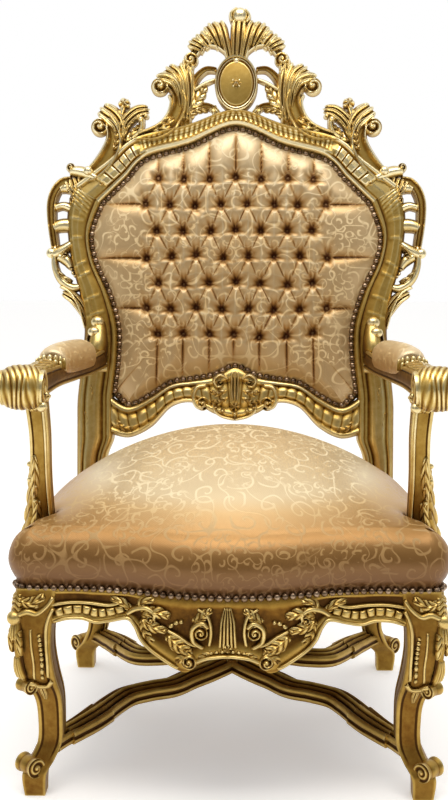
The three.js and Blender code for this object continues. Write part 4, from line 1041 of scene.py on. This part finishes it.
def hand_tone(s, a, b):
    """Painted shade on the arm: dark on its sides and in the channels of its other faces."""
    side = np.clip((np.abs(a) - np.abs(b) - 0.1) / 0.2, 0, 1)
    sunk = 1 - np.minimum(np.maximum(np.abs(a), np.abs(b)), 1)
    return 0.5 - 0.34 * side - 2 * sunk * (1 - side) + 0 * s


t, a = np.meshgrid(np.linspace(0, 2 * np.pi, 56, endpoint=False), np.linspace(-1, 1, 49), indexing="xy")
# The roll under the hand: its radius swells in the middle, ribs run round its front and lower half, and
# over its top the veins of a leaf slant from the inner side to the outer
under = np.clip(0.5 - np.sin(t - 0.5), 0, 1)
ribs = np.abs(np.sin(np.pi * 3.5 * (a + 1 + 0.07 * np.sin(5 * a + 2 * t))))
veins = np.abs(np.sin(np.pi * (3.2 * (a + 1) + 1.6 * np.cos(t))))
radius = 40 * (0.97 - 0.24 * np.abs(a) ** 3) + 2.4 * (0.6 * under * ribs**2 + (1 - under) * veins**0.6) - 2
hand = np.stack([HAND_REST[0] + 33 * a, HAND_REST[1] - radius * np.cos(t), HAND_REST[2] + radius * np.sin(t)], -1)
# The arm's rear end turns up along the stile and rolls over: each row is on the back's plane, and the
# section's outer side turns from upwards to forwards on the way
turn_up = [arm_row(0.86, -2, 40, 34), arm_row(0.92, 4, 40, 38), [*on_back(290, 334, 46), 40, 42],
           [*on_back(289, 360, 36), 36, 36],
           [*on_back(290, 384, 24), 26, 26]]
tilt = np.linspace(0, np.pi / 2, 51)


def on_inner_end(u, v, w):
    """A point on the inner end of the hand rest's roll."""
    return np.stack([HAND_REST[0] - 36 - w, HAND_REST[1] + u + 22, HAND_REST[2] + v - 18], -1)


arm = [
    sweep(arm_rows, ARM_SECTION, (0, 0, 1), 80, hand_tone),
    # Painted light and shade: the roll-over is toned paler on top and darker on its sides
    sweep(turn_up, PAD_SECTION, np.stack([0 * tilt, -np.sin(tilt), np.cos(tilt)], 1), 50,
          lambda s, a, b: 0.5 + 0.2 * b - 0.35 * np.clip((np.abs(a) - 0.5) / 0.4, 0, 1)),
    knob(on_back(291, 384, 36), 12, (1.15, 1, 1)),
    knob(on_back(297, 362, 50), 11, (1.2, 1, 1)),
    stroke([[272, 312, 6, 40], [277, 334, 8, 54], [281, 358, 8, 52], [279, 382, 8, 36]], rounded, on_back, across=9,
           back=16),
    plume([[306, 322, 10, 44], [308, 344, 16, 52], [306, 366, 14, 44]], on_back, 2, 3, back=20),
    # Painted shade: the ribs and veins of the hand rest are toned paler, the grooves between them darker
    skin(hand, 0.42 + 0.25 * (under * ribs + (1 - under) * veins)),
    roll(HAND_REST, (1, 0, 0), 30, 70, winding=1.8, hand=-1),
    knob(HAND_REST + [-34, -12, -30], 9),
    rosette(0, 0, 10, 6, on_inner_end, 5),
    # leaf over the top of the roll and the beaded collar before the pad
    leaf([[0, SEAT_FRONT + 40, 40, 4], [0, SEAT_FRONT + 90, 44, 8], [0, SEAT_FRONT + 140, 42, 12],
          [0, SEAT_FRONT + 180, 30, 10]],
         on_arm, 5, steps=50, across=15, back=10),
    stroke([[-26, SEAT_FRONT + 196, 12, 10], [-12, SEAT_FRONT + 190, 13, 17], [12, SEAT_FRONT + 190, 13, 17],
            [26, SEAT_FRONT + 196, 12, 10]],
           gadrooned(7), on_arm, steps=70, across=9, back=10),
    string([[-24, SEAT_FRONT + 180, 9, 6], [0, SEAT_FRONT + 174, 9, 12], [24, SEAT_FRONT + 180, 9, 6]], on_arm, 6,
           back=6),
]
piece("carved_arms", both(arm), gilded_wood, ["arm_left", "arm_right"])

# ------------------------------------------------------------------------------------------------
# Upholstery of the back: horsehair under satin damask, drawn down to seven rows of covered buttons.
# Folds run from button to button, and pleats from the outer ones to the frame.

# Silk and cotton damask: a champagne satin ground, and a pattern of curling tendrils in the duller
# weft face, which shows paler or darker as the light falls. Threads are drawn at 1 mm, coarser than life.
damask, tree = new_material("satin_damask")
where = add(tree, "ShaderNodeUVMap", uv_map="cloth").outputs["UV"]
sway = add(tree, "ShaderNodeTexNoise", {"Vector": where, "Scale": 17.0, "Detail": 1.5, "Roughness": 0.4})
sway = add(tree, "ShaderNodeVectorMath", {0: sway.outputs["Color"], 1: (0.5, 0.5, 0.5)}, operation="SUBTRACT")
bent = add(tree, "ShaderNodeVectorMath", {0: sway.outputs["Vector"], 1: (0.03, 0.03, 0.0), 2: where},
           operation="MULTIPLY_ADD")


def tendrils(per_metre, turns, thin):
    """Curling tendrils: in each cell of a Voronoi pattern a line winds out from the middle, left or
    right handed, and dies away at the cell's edge. Gives 1 on a line and 0 on the ground."""
    place = {"Vector": bent.outputs["Vector"], "Scale": per_metre, "Randomness": 0.6}
    cell = add(tree, "ShaderNodeTexVoronoi", place, voronoi_dimensions="2D")
    rim = add(tree, "ShaderNodeTexVoronoi", place, voronoi_dimensions="2D", feature="DISTANCE_TO_EDGE")
    arm = add(tree, "ShaderNodeVectorMath", {0: bent.outputs["Vector"], 1: cell.outputs["Position"]},
              operation="SUBTRACT")
    arm = add(tree, "ShaderNodeSeparateXYZ", {0: arm.outputs["Vector"]})
    angle = add(tree, "ShaderNodeMath", {0: arm.outputs["Y"], 1: arm.outputs["X"]}, operation="ARCTAN2")
    tint = add(tree, "ShaderNodeSeparateColor", {0: cell.outputs["Color"]})
    side = add(tree, "ShaderNodeMath", {0: tint.outputs[0], 1: 0.5}, operation="GREATER_THAN")
    side = add(tree, "ShaderNodeMath", {0: side.outputs[0], 1: 2.0, 2: -1.0}, operation="MULTIPLY_ADD")
    wound = add(tree, "ShaderNodeMath", {0: angle.outputs[0], 1: side.outputs[0]}, operation="MULTIPLY")
    wound = add(tree, "ShaderNodeMath", {0: cell.outputs["Distance"], 1: turns * 6.283, 2: wound.outputs[0]},
                operation="MULTIPLY_ADD")
    wound = add(tree, "ShaderNodeMath", {0: tint.outputs[1], 1: 6.28, 2: wound.outputs[0]}, operation="MULTIPLY_ADD")
    curl = add(tree, "ShaderNodeMath", {0: wound.outputs[0]}, operation="SINE")
    curl = add(tree, "ShaderNodeMapRange", {"Value": curl.outputs[0], "From Min": thin, "From Max": thin + 0.22},
               interpolation_type="SMOOTHSTEP")
    inside = add(tree, "ShaderNodeMapRange", {"Value": rim.outputs["Distance"], "From Min": 0.02, "From Max": 0.1},
                 interpolation_type="SMOOTHSTEP")
    return add(tree, "ShaderNodeMath", {0: curl.outputs["Result"], 1: inside.outputs["Result"]}, operation="MULTIPLY")


def stems(per_metre, half):
    """Winding stems: the narrow band where a smooth noise crosses its middle value."""
    field = add(tree, "ShaderNodeTexNoise", {"Vector": where, "Scale": per_metre, "Detail": 0.0})
    off = add(tree, "ShaderNodeMath", {0: field.outputs["Fac"], 1: 0.5}, operation="SUBTRACT")
    off = add(tree, "ShaderNodeMath", {0: off.outputs[0]}, operation="ABSOLUTE")
    return add(tree, "ShaderNodeMapRange", {"Value": off.outputs[0], "From Min": half, "From Max": half * 0.45},
               interpolation_type="SMOOTHSTEP")


broad = tendrils(19.0, 2.3, 0.74)
broad = add(tree, "ShaderNodeMath", {0: broad.outputs[0], 1: stems(16.0, 0.014).outputs["Result"]},
            operation="MAXIMUM")
close = tendrils(42.0, 1.2, 0.64)
close = add(tree, "ShaderNodeMath", {0: close.outputs[0], 1: stems(34.0, 0.022).outputs["Result"]},
            operation="MAXIMUM")
patch = add(tree, "ShaderNodeTexNoise", {"Vector": where, "Scale": 7.0, "Detail": 1.0})
dense = add(tree, "ShaderNodeMapRange", {"Value": patch.outputs["Fac"], "From Min": 0.5, "From Max": 0.56},
            interpolation_type="SMOOTHSTEP")
bare = add(tree, "ShaderNodeMapRange", {"Value": patch.outputs["Fac"], "From Min": 0.27, "From Max": 0.34},
           interpolation_type="SMOOTHSTEP")
figure = add(tree, "ShaderNodeMix", {"Factor": dense.outputs["Result"], 2: broad.outputs[0], 3: close.outputs[0]})
figure = add(tree, "ShaderNodeMath", {0: figure.outputs[0], 1: bare.outputs["Result"]}, operation="MULTIPLY")
# Ground and figure colours follow each cloth piece's tone: painted light and shade, dark in pits and low down, pale
# on top
shadow = add(tree, "ShaderNodeAttribute", attribute_name="patina_and_shade").outputs["Fac"]
ground = add(tree, "ShaderNodeValToRGB", {"Fac": shadow}, stops=[
    (0.0, "#4a1e08"), (0.14, "#76502a"), (0.4, "#ad8043"), (0.7, "#cdab77"), (1.0, "#dfcba4")])
thread = add(tree, "ShaderNodeValToRGB", {"Fac": shadow},
             stops=[(0.0, "#6a3a14"), (0.3, "#b08c54"), (0.7, "#d8bc88"), (1.0, "#eadcb8")])
# Painted sheen and shade: the ground is darkened where the cloth faces the viewer and left pale where it is seen edge
# on
turned = add(tree, "ShaderNodeLayerWeight", {"Blend": 0.5})
face_on = add(tree, "ShaderNodeMapRange",
              {"Value": turned.outputs["Facing"], "From Min": 0.05, "From Max": 0.6, "To Min": 0.62, "To Max": 0.0})
deep = add(tree, "ShaderNodeMix", {"Factor": 0.55, 6: ground.outputs["Color"], 7: colour("#6a4a1c")},
           data_type="RGBA")
ground = add(tree, "ShaderNodeMix",
             {"Factor": face_on.outputs["Result"], 6: ground.outputs["Color"], 7: deep.outputs[2]}, data_type="RGBA")
soft = add(tree, "ShaderNodeMath", {0: figure.outputs[0], 1: 0.7}, operation="MULTIPLY")
cloth_tone = add(tree, "ShaderNodeMix", {"Factor": soft.outputs[0], 6: ground.outputs[2], 7: thread.outputs["Color"]},
                 data_type="RGBA")
weave = add(tree, "ShaderNodeTexWave", {"Vector": where, "Scale": 160.0, "Distortion": 0.6, "Detail": 1.0},
            wave_type="BANDS", bands_direction="DIAGONAL")
raise_weave = add(tree, "ShaderNodeMath", {0: figure.outputs[0], 1: 1.2, 2: weave.outputs["Fac"]},
                  operation="MULTIPLY_ADD")
cloth_bump = add(tree, "ShaderNodeBump", {"Strength": 0.14, "Distance": 0.0006, "Height": raise_weave.outputs[0]})
satin = add(tree, "ShaderNodeMapRange", {"Value": figure.outputs[0], "To Min": 0.36, "To Max": 0.6})
shine = add(tree, "ShaderNodeMapRange", {"Value": figure.outputs[0], "To Min": 0.42, "To Max": 0.1})
cloth = add(tree, "ShaderNodeBsdfPrincipled", {
    "Base Color": cloth_tone.outputs[2], "Metallic": shine.outputs["Result"], "Roughness": satin.outputs["Result"],
    "Normal": cloth_bump.outputs["Normal"]})
add(tree, "ShaderNodeOutputMaterial", {"Surface": cloth.outputs["BSDF"]})


def lay_cloth(made, flat):
    """Gives a piece its map for the damask: flat is each vertex's place on the bolt, in metres."""
    corner = np.zeros(len(made.data.loops), np.int32)
    made.data.loops.foreach_get("vertex_index", corner)
    layer = made.data.uv_layers.new(name="cloth")
    layer.uv.foreach_set("vector", flat[corner].astype(np.float32).ravel())


def around(half):
    """A closed outline from its right half, in equal steps round."""
    return np.vstack([half, (half * [-1, 1])[-2:0:-1]])


def even(points, count):
    """The same closed outline in equal steps of its length."""
    loop = np.vstack([points, points[:1]])
    run = np.concatenate([[0], np.cumsum(np.hypot(*np.diff(loop, axis=0).T))])
    at = np.linspace(0, run[-1], count, endpoint=False)
    return np.stack([np.interp(at, run, loop[:, k]) for k in (0, 1)], -1)


def outset(points, distance):
    """A closed outline moved out along its normals; it runs anticlockwise."""
    way = np.roll(points, -1, 0) - np.roll(points, 1, 0)
    way /= np.linalg.norm(way, axis=1)[:, None]
    return points + distance * np.stack([way[:, 1], -way[:, 0]], -1)


share = np.linspace(0, 1, 200)
PANEL = even(around(np.vstack([
    line(whole(PANEL_FOOT), 0.5 + 0.43 * share), line(PANEL_SIDE, 0.6 * (1 - share)),
    line(whole(PANEL_TOP), 1 - 0.5 * share)])), 640)
PAD_MIDDLE = np.array([0.0, 520.0])
REBATE, PAD_CROWN = 6.0, 42.0
ACROSS, ROW = 54.7, 55.2  # spacing of the buttons along a row and between rows
TOP_ROW = 688.0

buttons = []
for k in range(7):
    count = 8 if k % 2 else 7
    buttons += [[(n - (count - 1) / 2) * ACROSS, TOP_ROW - ROW * k, k] for n in range(count)]
buttons = np.array(buttons)
buttons[:, :2] += np.random.default_rng(7).normal(0, 2.2, (len(buttons), 2))  # set
folds = []
for u, v, k in buttons:
    below = buttons[(buttons[:, 2] == k + 1) & (np.abs(buttons[:, 0] - u) < ACROSS * 0.6)]
    folds += [[u, v, b[0], b[1], 12.0, 12.0] for b in below]
    if k == 0:
        folds.append([u, v, u * 1.03, v + 140, 14.0, 7.0])
    if k == 6:
        folds.append([u, v, u * 1.04, v - 240, 12.0, 4.0])
    if abs(u) > 3.4 * ACROSS:
        folds.append([u, v, u + np.sign(u) * 160, v + 3, 15.0, 9.0])
folds = np.array(folds)


def tufting(u, v):
    """How far the cloth is drawn down: the most that a fold or a button takes. A fold's pull dies away
    with the distance from it, fast at the crease and slowly over the puffs; a button's pull makes a deep
    pit, drawn out upwards where the cloth folds over it."""
    pull = np.zeros_like(u)
    for u0, v0, u1, v1, first, last in folds:
        along = np.array([u1 - u0, v1 - v0])
        t = np.clip(((u - u0) * along[0] + (v - v0) * along[1]) / (along @ along), 0, 1)
        far = np.hypot(u - u0 - t * along[0], v - v0 - t * along[1])
        depth = first + (last - first) * t - (6.0 * np.sin(np.pi * t) if first == last else 0)
        pull = np.maximum(pull, depth * (0.55 * np.exp(-((far / 13) ** 1.5)) + 0.45 * np.exp(-far / 2.6)))
    for u0, v0, _ in buttons:
        lift = np.where(v > v0, 0.72, 1.15) * (v - v0)
        far = np.hypot(u - u0, lift)
        around = np.arctan2(lift, u - u0)
        crease = 1 + 0.05 * np.cos(8 * around) * np.clip(far / 14, 0, 1)
        pull = np.maximum(pull, 27 * np.exp(-((far * crease / 11.0) ** 1.2)))
    return pull


def pad_height(u, v, share, gap):
    """Height of the pad over the plane: it rises from the rebate over some 20 mm, crowns towards the
    middle, and is drawn down by the tufting away from the edge."""
    crown = REBATE + (PAD_CROWN - REBATE) * (1 - np.exp(-gap / 20)) * (0.86 + 0.14 * (1 - share**2))
    return crown - tufting(u, v) * (1 - np.exp(-gap / 15))


share = np.concatenate([[1], np.linspace(0.995, 0.02, 130)])[:, None]
rim = outset(PANEL, -8.0)
spread = np.hypot(*(rim - PAD_MIDDLE).T)[None]
u = rim[None, :, 0] * share
v = PAD_MIDDLE[1] + (rim[None, :, 1] - PAD_MIDDLE[1]) * share
gap = (1 - share) * spread * 0.9
w = pad_height(u, v, share, gap)
under = np.stack([outset(PANEL, -1.0)] * 2)
u = np.vstack([under[:, :, 0], u])
v = np.vstack([under[:, :, 1], v])
pull = np.vstack([np.full((2, len(PANEL)), 8.0), tufting(u[2:], v[2:]) * (1 - np.exp(-gap / 15))])
w = np.vstack([np.full((1, len(PANEL)), -36.0), np.full((1, len(PANEL)), REBATE - 0.5), w])
# Painted light and shade: the pad is toned paler towards its top and darker where the tufting draws it into folds and
# pits
tone = np.interp(v, [280, 520, 640, 780], [0.68, 0.7, 0.74, 0.9]) * (1.1 - pull / 19)
back_pad = piece("tufted_back_pad", [skin(on_back(u, v, w), np.clip(tone, 0, 1))], damask, ["back_pad"])
flat = np.stack([u, v], -1).reshape(-1, 2)
lay_cloth(back_pad, np.vstack([flat, flat[:1], PAD_MIDDLE[None]]) * 0.001)


def dome(u0, v0):
    """A covered button at the bottom of its pit, in the shade."""
    low = pad_height(*(np.array([k]) for k in (u0, v0, 0.4, 200.0)))[0]
    points, quads, fans, tone = disc(
        u0, v0, 5.2, 3.0, lambda a, b, c: on_back(a, b, c + low + 1), half_ball, back=2, rings=4, count=10)
    # Painted shade: each button is toned dark all over, as the shade of its pit
    return points, quads, fans, 0 * tone + 0.12


domes = [dome(u0, v0) for u0, v0, _ in buttons]
back_buttons = piece("covered_buttons", domes, damask, [], shade=False)
place = np.vstack([d[0] for d in domes])[:, [0, 2]] * 0.001
lay_cloth(back_buttons, place)

# Cloth over the rear of the back, stretched flat on a light frame
rear_share = np.concatenate([[1.0, 1.0, 0.99], np.linspace(0.95, 0.03, 16)])[:, None]
plan = outset(PANEL[::2], 7.5)
u = plan[None, :, 0] * rear_share
v = PAD_MIDDLE[1] + (plan[None, :, 1] - PAD_MIDDLE[1]) * rear_share
fall = np.concatenate([[0.0, 2.6, 4.0], 4.0 + 3 * (1 - np.linspace(0.95, 0.03, 16) ** 2)])
w = -FRAME_REAR - 0.3 - fall[:, None] + 0 * u
back_cover = piece("back_cloth", [skin(on_back(u, v, w), 0.75)], damask, ["back_cover"], shade=False)
flat = np.stack([u, v], -1).reshape(-1, 2)
lay_cloth(back_cover, np.vstack([flat, flat[:1], PAD_MIDDLE[None]]) * 0.001)

# ------------------------------------------------------------------------------------------------
# Seat: a high crowned cushion of horsehair under the same damask, pulled down over the rails and nailed
# along them. It is cut round the arm supports, and its front rolls over the bowed rail.

CORNER = 34.0  # radius of the front corners
CROWN_Y, CROWN_RISE, CROWN_FALL, SEAT_REAR = 345.0, 225.0, 120.0, 546.0
PULLS = 97  # small pulls round the foot


def seat_plan(count):
    """Outline of the seat on the rails: the bowed front, round corners, straight sides and rear."""
    x = np.linspace(0, HALF_FRONT - CORNER, 60)
    front = np.stack([x, rail_face(x)], 1)
    turn = np.radians(np.linspace(4, 88, 16))
    corner = np.stack([HALF_FRONT - CORNER * (1 - np.sin(turn)), RAIL_SETBACK + CORNER * (1 - np.cos(turn))], 1)
    y = np.linspace(RAIL_SETBACK + CORNER, SEAT_REAR - 24, 60)
    side = np.stack([half_width(y), y], 1)
    round_off = np.stack([HALF_REAR - 22 * (1 - np.cos(turn)), SEAT_REAR - 24 * (1 - np.sin(turn))], 1)
    rear = np.stack([np.linspace(HALF_REAR - 26, 0, 40), np.full(40, SEAT_REAR)], 1)
    return even(around(np.vstack([front, corner, side, round_off, rear])), count)


def crown(x, y):
    """Rise of the cushion over the rails: a pillow that falls to every edge with the square of the way
    there, sideways and forwards at once, and less towards the rear."""
    rearward = np.clip((y - CROWN_Y) / (SEAT_REAR - CROWN_Y), 0, 1)
    kept = 0.54 * rearward * (1 - (x / HALF_REAR) ** 2)
    across = np.clip(np.abs(x) / (half_width(y) - 30), 0, 1)
    forward = np.clip((CROWN_Y - y) / (CROWN_Y - 30 - rail_face(x)), 0, 1)
    onward = np.clip((y - CROWN_Y) / (SEAT_REAR - 30 - CROWN_Y), 0, 1)
    fall = CROWN_FALL * (1 - kept) * (1 - (1 - across**2) * (1 - (forward + onward) ** 2))
    return CROWN_RISE - fall - 24 * rearward**2 * across**4


plan = seat_plan(460)
# Side as [how far out of the outline, share of the rise of the edge]
side = line([[-5, 0.0], [-4, 0.08], [3, 0.19], [9, 0.34], [10, 0.48], [6, 0.63], [-2, 0.78], [-14, 0.9], [-30, 1.0]],
            np.linspace(0, 1, 40))
rings = []
for out, lift in side:
    ring = outset(plan, out)
    rings.append(np.column_stack([ring, crown(ring[:, 0], ring[:, 1]) * lift]))
inner = outset(plan, -30.0)
spoke = inner - [0, CROWN_Y]
reach = np.linalg.norm(spoke, axis=1)
heading = spoke / reach[:, None]
wide = np.concatenate([reach, reach, reach])
mild = np.convolve(wide, np.hanning(97) / np.hanning(97).sum(), "same")[len(reach):2 * len(reach)]
for at in np.linspace(0.985, 0.03, 70):
    ring = heading * (at * (reach + (mild - reach) * min(1, 2.2 * (1 - at))))[:, None]
    x, y = ring[:, 0], CROWN_Y + ring[:, 1]
    rings.append(np.column_stack([x, y, crown(x, y)]))
rings = np.array(rings)
x, y, z = rings[..., 0], rings[..., 1], RAIL_TOP + 0.5 + rings[..., 2]
# Cut round the supports: the cloth is drawn in smoothly to the support's inner face beside it, and
# less the more it lies before or behind the support
cx, cy, _ = support_at(z)
beside = np.abs(y - (cy - SEAT_FRONT))
room = cx - 22 + 165 * (1 - np.exp(-((beside / 75) ** 2)))
x = np.sign(x) * (np.abs(x) - 17 * np.log1p(np.exp((np.abs(x) - room) / 17)))
# The foot at the rear is drawn out over the rail, between the posts
low = np.exp(-np.clip(z - RAIL_TOP, 0, None) / 16)
y = y + 9 * low * np.clip((y - 500) / 30, 0, 1) * np.clip((262 - np.abs(x)) / 20, 0, 1)
# Small pulls along the foot: the cloth is drawn in and let out half a millimetre in turn
run = np.arange(x.shape[1])[None] / x.shape[1] * 2 * np.pi
y = y - 0.5 * low * np.sin(run * PULLS) * np.sign(y - 200)
# Painted light and shade: the cushion is toned dark low on its front and sides and pale over the crown, by height
# over the rail
tone = np.interp(z - RAIL_TOP, [0, 30, 60, 85, 105, 125, 150, 185, 213],
                 [0.1, 0.14, 0.22, 0.33, 0.44, 0.62, 0.98, 0.97, 0.92])
cushion = piece("seat_cushion_cover", [skin(np.stack([x, SEAT_FRONT + y, z], -1), tone)], damask,
                ["seat_cushion"], shade=False)
drop_of = np.concatenate([[0], np.cumsum(np.linalg.norm(np.diff(rings[:, 0], axis=0), axis=1))])
heading = outset(plan, 1.0) - plan
on_side_wall = (np.arange(len(rings)) < len(side))[:, None, None]
hem = inner + heading * (drop_of[len(side) - 1] - drop_of)[:, None, None]
flat = np.where(on_side_wall, hem, np.stack([x, y], -1)).reshape(-1, 2)
lay_cloth(cushion, np.vstack([flat, flat[:1], [[0, CROWN_Y]]]) * 0.001)

# ------------------------------------------------------------------------------------------------
# Arm pads: small bolsters of the same stuff on top of the arms, rounded off at both ends.

PAD_START, PAD_LENGTH, PAD_WIDTH, PAD_DEPTH, PAD_OVER = 203.0, 262.0, 64.0, 51.0, 25.0
PAD_GIRTH, PAD_CUT = 115.0, 1300.0  # cloth round the pad, and where on the bolt it is cut


def pad_row(share, width, thick):
    """Middle, width and depth of the pad at a share of its length, on the arm's own line."""
    rows = line(arm_rows, np.linspace(0, 1, 200))
    y = SEAT_FRONT + PAD_START + PAD_LENGTH * share
    x, z = (np.interp(y, rows[:, 1], rows[:, k]) for k in (0, 2))
    return [x, y, z + PAD_OVER + 2 * thick, PAD_WIDTH * width, PAD_DEPTH * thick]


pad_half = [(0, 0.62, 0.5), (0.02, 0.82, 0.78), (0.08, 0.95, 0.98), (0.2, 1.0, 1.06), (0.4, 1.02, 1.1)]
pad_rows = [pad_row(*row) for row in pad_half] + [pad_row(1 - share, *size) for share, *size in pad_half[::-1]]
# Painted light and shade: each pad is toned paler on top and darker underneath
bolster = sweep(pad_rows, PAD_SECTION, (0, 0, 1), 60, lambda s, a, b: 0.55 + 0.3 * b + 0 * s)
for name, shells in [("left", mirrored([bolster])), ("right", [bolster])]:
    pad = piece(f"arm_pad_cover_{name}", shells, damask, [f"arm_pad_{name}"])
    points = shells[0][0]
    girth = np.resize(np.linspace(0, PAD_GIRTH, len(PAD_SECTION)), len(points))
    lay_cloth(pad, np.stack([girth + PAD_CUT, points[:, 1]], 1) * 0.001)

# ------------------------------------------------------------------------------------------------
# Nails: domed heads of antiqued brass, driven almost edge to edge along the seat rails and round the back.

# Brass darkened with age: brown in the hollows between heads, coppery where they catch the light
nail_brass, tree = new_material("antiqued_brass")
where = add(tree, "ShaderNodeTexCoord").outputs["Object"]
age = add(tree, "ShaderNodeTexNoise", {"Vector": where, "Scale": 60.0, "Detail": 2.0})
age_tone = add(tree, "ShaderNodeValToRGB", {"Fac": age.outputs["Fac"]},
               stops=[(0.3, "#54402f"), (0.5, "#86705a"), (0.72, "#b39c84")])
age_polish = add(tree, "ShaderNodeMapRange", {"Value": age.outputs["Fac"], "To Min": 0.22, "To Max": 0.42})
brass = add(tree, "ShaderNodeBsdfPrincipled",
            {"Base Color": age_tone.outputs["Color"], "Metallic": 1.0, "Roughness": age_polish.outputs["Result"]})
add(tree, "ShaderNodeOutputMaterial", {"Surface": brass.outputs["BSDF"]})

NAIL_PITCH, SEAT_ROUND = 14.4, 2520.0  # from head to head, and the length of the seat's outline
# Head as [radius, height] from its rim to near its crown
HEAD = np.array([[6.4, -1.6], [6.5, 0.4], [5.7, 2.9], [3.5, 4.9], [1.1, 5.7]])


def nails(places, normals, ways):
    """A shell of heads, one at each place, domed along its normal: rings of eight points and two poles."""
    side = np.cross(normals, ways)
    t = np.arange(8) / 8 * 2 * np.pi
    round_, rise = HEAD[:, 0], HEAD[:, 1]
    local = np.stack([np.outer(round_, np.cos(t)), np.outer(round_, np.sin(t)), np.outer(rise, np.ones(8))], -1)
    shells = skin(local, 0.5)
    template = shells[0]
    points = (places[:, None] + template[None, :, :1] * ways[:, None] + template[None, :, 1:2] * side[:, None]
              + template[None, :, 2:] * normals[:, None]).reshape(-1, 3)
    step = len(template) * np.arange(len(places))[:, None, None]
    turned = np.einsum("ij,ij->i", np.cross(ways, side), normals)[0] < 0
    quads, fans = ((f[:, ::-1] if turned else f) for f in shells[1:3])
    return points, (quads[None] + step).reshape(-1, 4), (fans[None] + step).reshape(-1, 3), np.full(len(points), 0.5)


def unit(vectors):
    """The same directions at length 1."""
    return vectors / np.linalg.norm(vectors, axis=-1, keepdims=True)


plan = even(outset(seat_plan(400), -1.5), int(SEAT_ROUND / NAIL_PITCH))
way = unit(np.roll(plan, -1, 0) - np.roll(plan, 1, 0))
on_rails = plan[:, 1] < SEAT_REAR - 14
places = np.column_stack([plan[:, 0], SEAT_FRONT + plan[:, 1], np.full(len(plan), RAIL_TOP + 0.5)])[on_rails]
normals = np.column_stack([way[:, 1], -way[:, 0], 0 * way[:, 0]])[on_rails]
ways = np.column_stack([way, 0 * way[:, 0]])[on_rails]
piece("seat_nails", [nails(places, normals, ways)], nail_brass, ["seat_nail_row"], shade=False)

ring = outset(PANEL, -5.2)
length = np.hypot(*(np.roll(ring, -1, 0) - ring).T).sum()
ring = even(ring, int(length / NAIL_PITCH))
places = on_back(ring[:, 0], ring[:, 1], REBATE + 1.4 + 0 * ring[:, 0])
ways = unit(np.roll(places, -1, 0) - np.roll(places, 1, 0))
normals = np.broadcast_to([0, -np.cos(LEAN), np.sin(LEAN)], places.shape)
piece("back_nails", [nails(places, normals, ways)], nail_brass, ["back_nail_row"], shade=False)

# ------------------------------------------------------------------------------------------------
# The room: a pale floor, soft light from a bright wall behind and large diffused lamps in front, and
# the camera where the photograph was taken from.

room, tree = new_material("pale_floor")
paint = add(tree, "ShaderNodeBsdfPrincipled", {
    "Base Color": colour("#f7f6f4"), "Roughness": 0.85, "Specular IOR Level": 0.2,
    "Emission Color": colour("#ffffff"), "Emission Strength": 0.3})
add(tree, "ShaderNodeOutputMaterial", {"Surface": paint.outputs["BSDF"]})
floor_mesh = bpy.data.meshes.new("floor")
corners = [(x, y, 0) for x, y in ((-9, -9), (9, -9), (9, 9), (-9, 9))]
floor_mesh.from_pydata(corners, [], [(0, 1, 2, 3)])
floor = bpy.data.objects.new("floor", floor_mesh)
floor.data.materials.append(room)
bpy.context.scene.collection.objects.link(floor)

world = bpy.data.worlds.new("studio")
world.use_nodes = True
bpy.context.scene.world = world
tree = world.node_tree
tree.nodes.clear()
seen = add(tree, "ShaderNodeTexCoord").outputs["Generated"]
facing = add(tree, "ShaderNodeSeparateXYZ", {0: seen})
wall = add(tree, "ShaderNodeMapRange",
           {"Value": facing.outputs["Y"], "From Min": -0.15, "From Max": 0.45, "To Min": 0.16, "To Max": 1.0})
ceiling = add(tree, "ShaderNodeMapRange",
              {"Value": facing.outputs["Z"], "From Min": 0.35, "From Max": 0.9, "To Min": 0.0, "To Max": 0.9})
room_light = add(tree, "ShaderNodeMath", {0: wall.outputs["Result"], 1: ceiling.outputs["Result"]},
                 operation="MAXIMUM")
glow = add(tree, "ShaderNodeBackground", {"Color": colour("#ffffff"), "Strength": room_light.outputs[0]})
add(tree, "ShaderNodeOutputWorld", {"Surface": glow.outputs["Background"]})
bpy.context.scene.view_settings.view_transform = "Standard"


def lamp(name, place, aim, size, power, tint):
    """A rectangular diffused lamp aimed at a point."""
    data = bpy.data.lights.new(name, "AREA")
    data.shape, data.size, data.size_y = "RECTANGLE", size[0], size[1]
    data.energy, data.color = power, colour(tint)[:3]
    made = bpy.data.objects.new(name, data)
    made.location = place
    made.rotation_euler = (mathutils.Vector(aim) - mathutils.Vector(place)).to_track_quat("-Z", "Y").to_euler()
    bpy.context.scene.collection.objects.link(made)


lamp("overhead", (0, -0.7, 3.1), (0, -0.1, 0.6), (2.6, 1.6), 62, "#fffaf3")
lamp("key", (-2.0, -2.6, 2.4), (0, 0, 0.9), (1.3, 1.3), 5, "#fff6e8")
lamp("fill", (2.4, -2.4, 2.0), (0, 0, 0.8), (1.2, 1.4), 3, "#fffcf6")

camera_data = bpy.data.cameras.new("camera")
camera_data.lens = 57.96
camera_data.sensor_width = 36
camera = bpy.data.objects.new("camera", camera_data)
camera.location = (0.050, -2.4623, 1.086)
camera.rotation_euler = (np.radians(90 - 9.8), 0, np.radians(1.55))
bpy.context.scene.collection.objects.link(camera)
bpy.context.scene.camera = camera
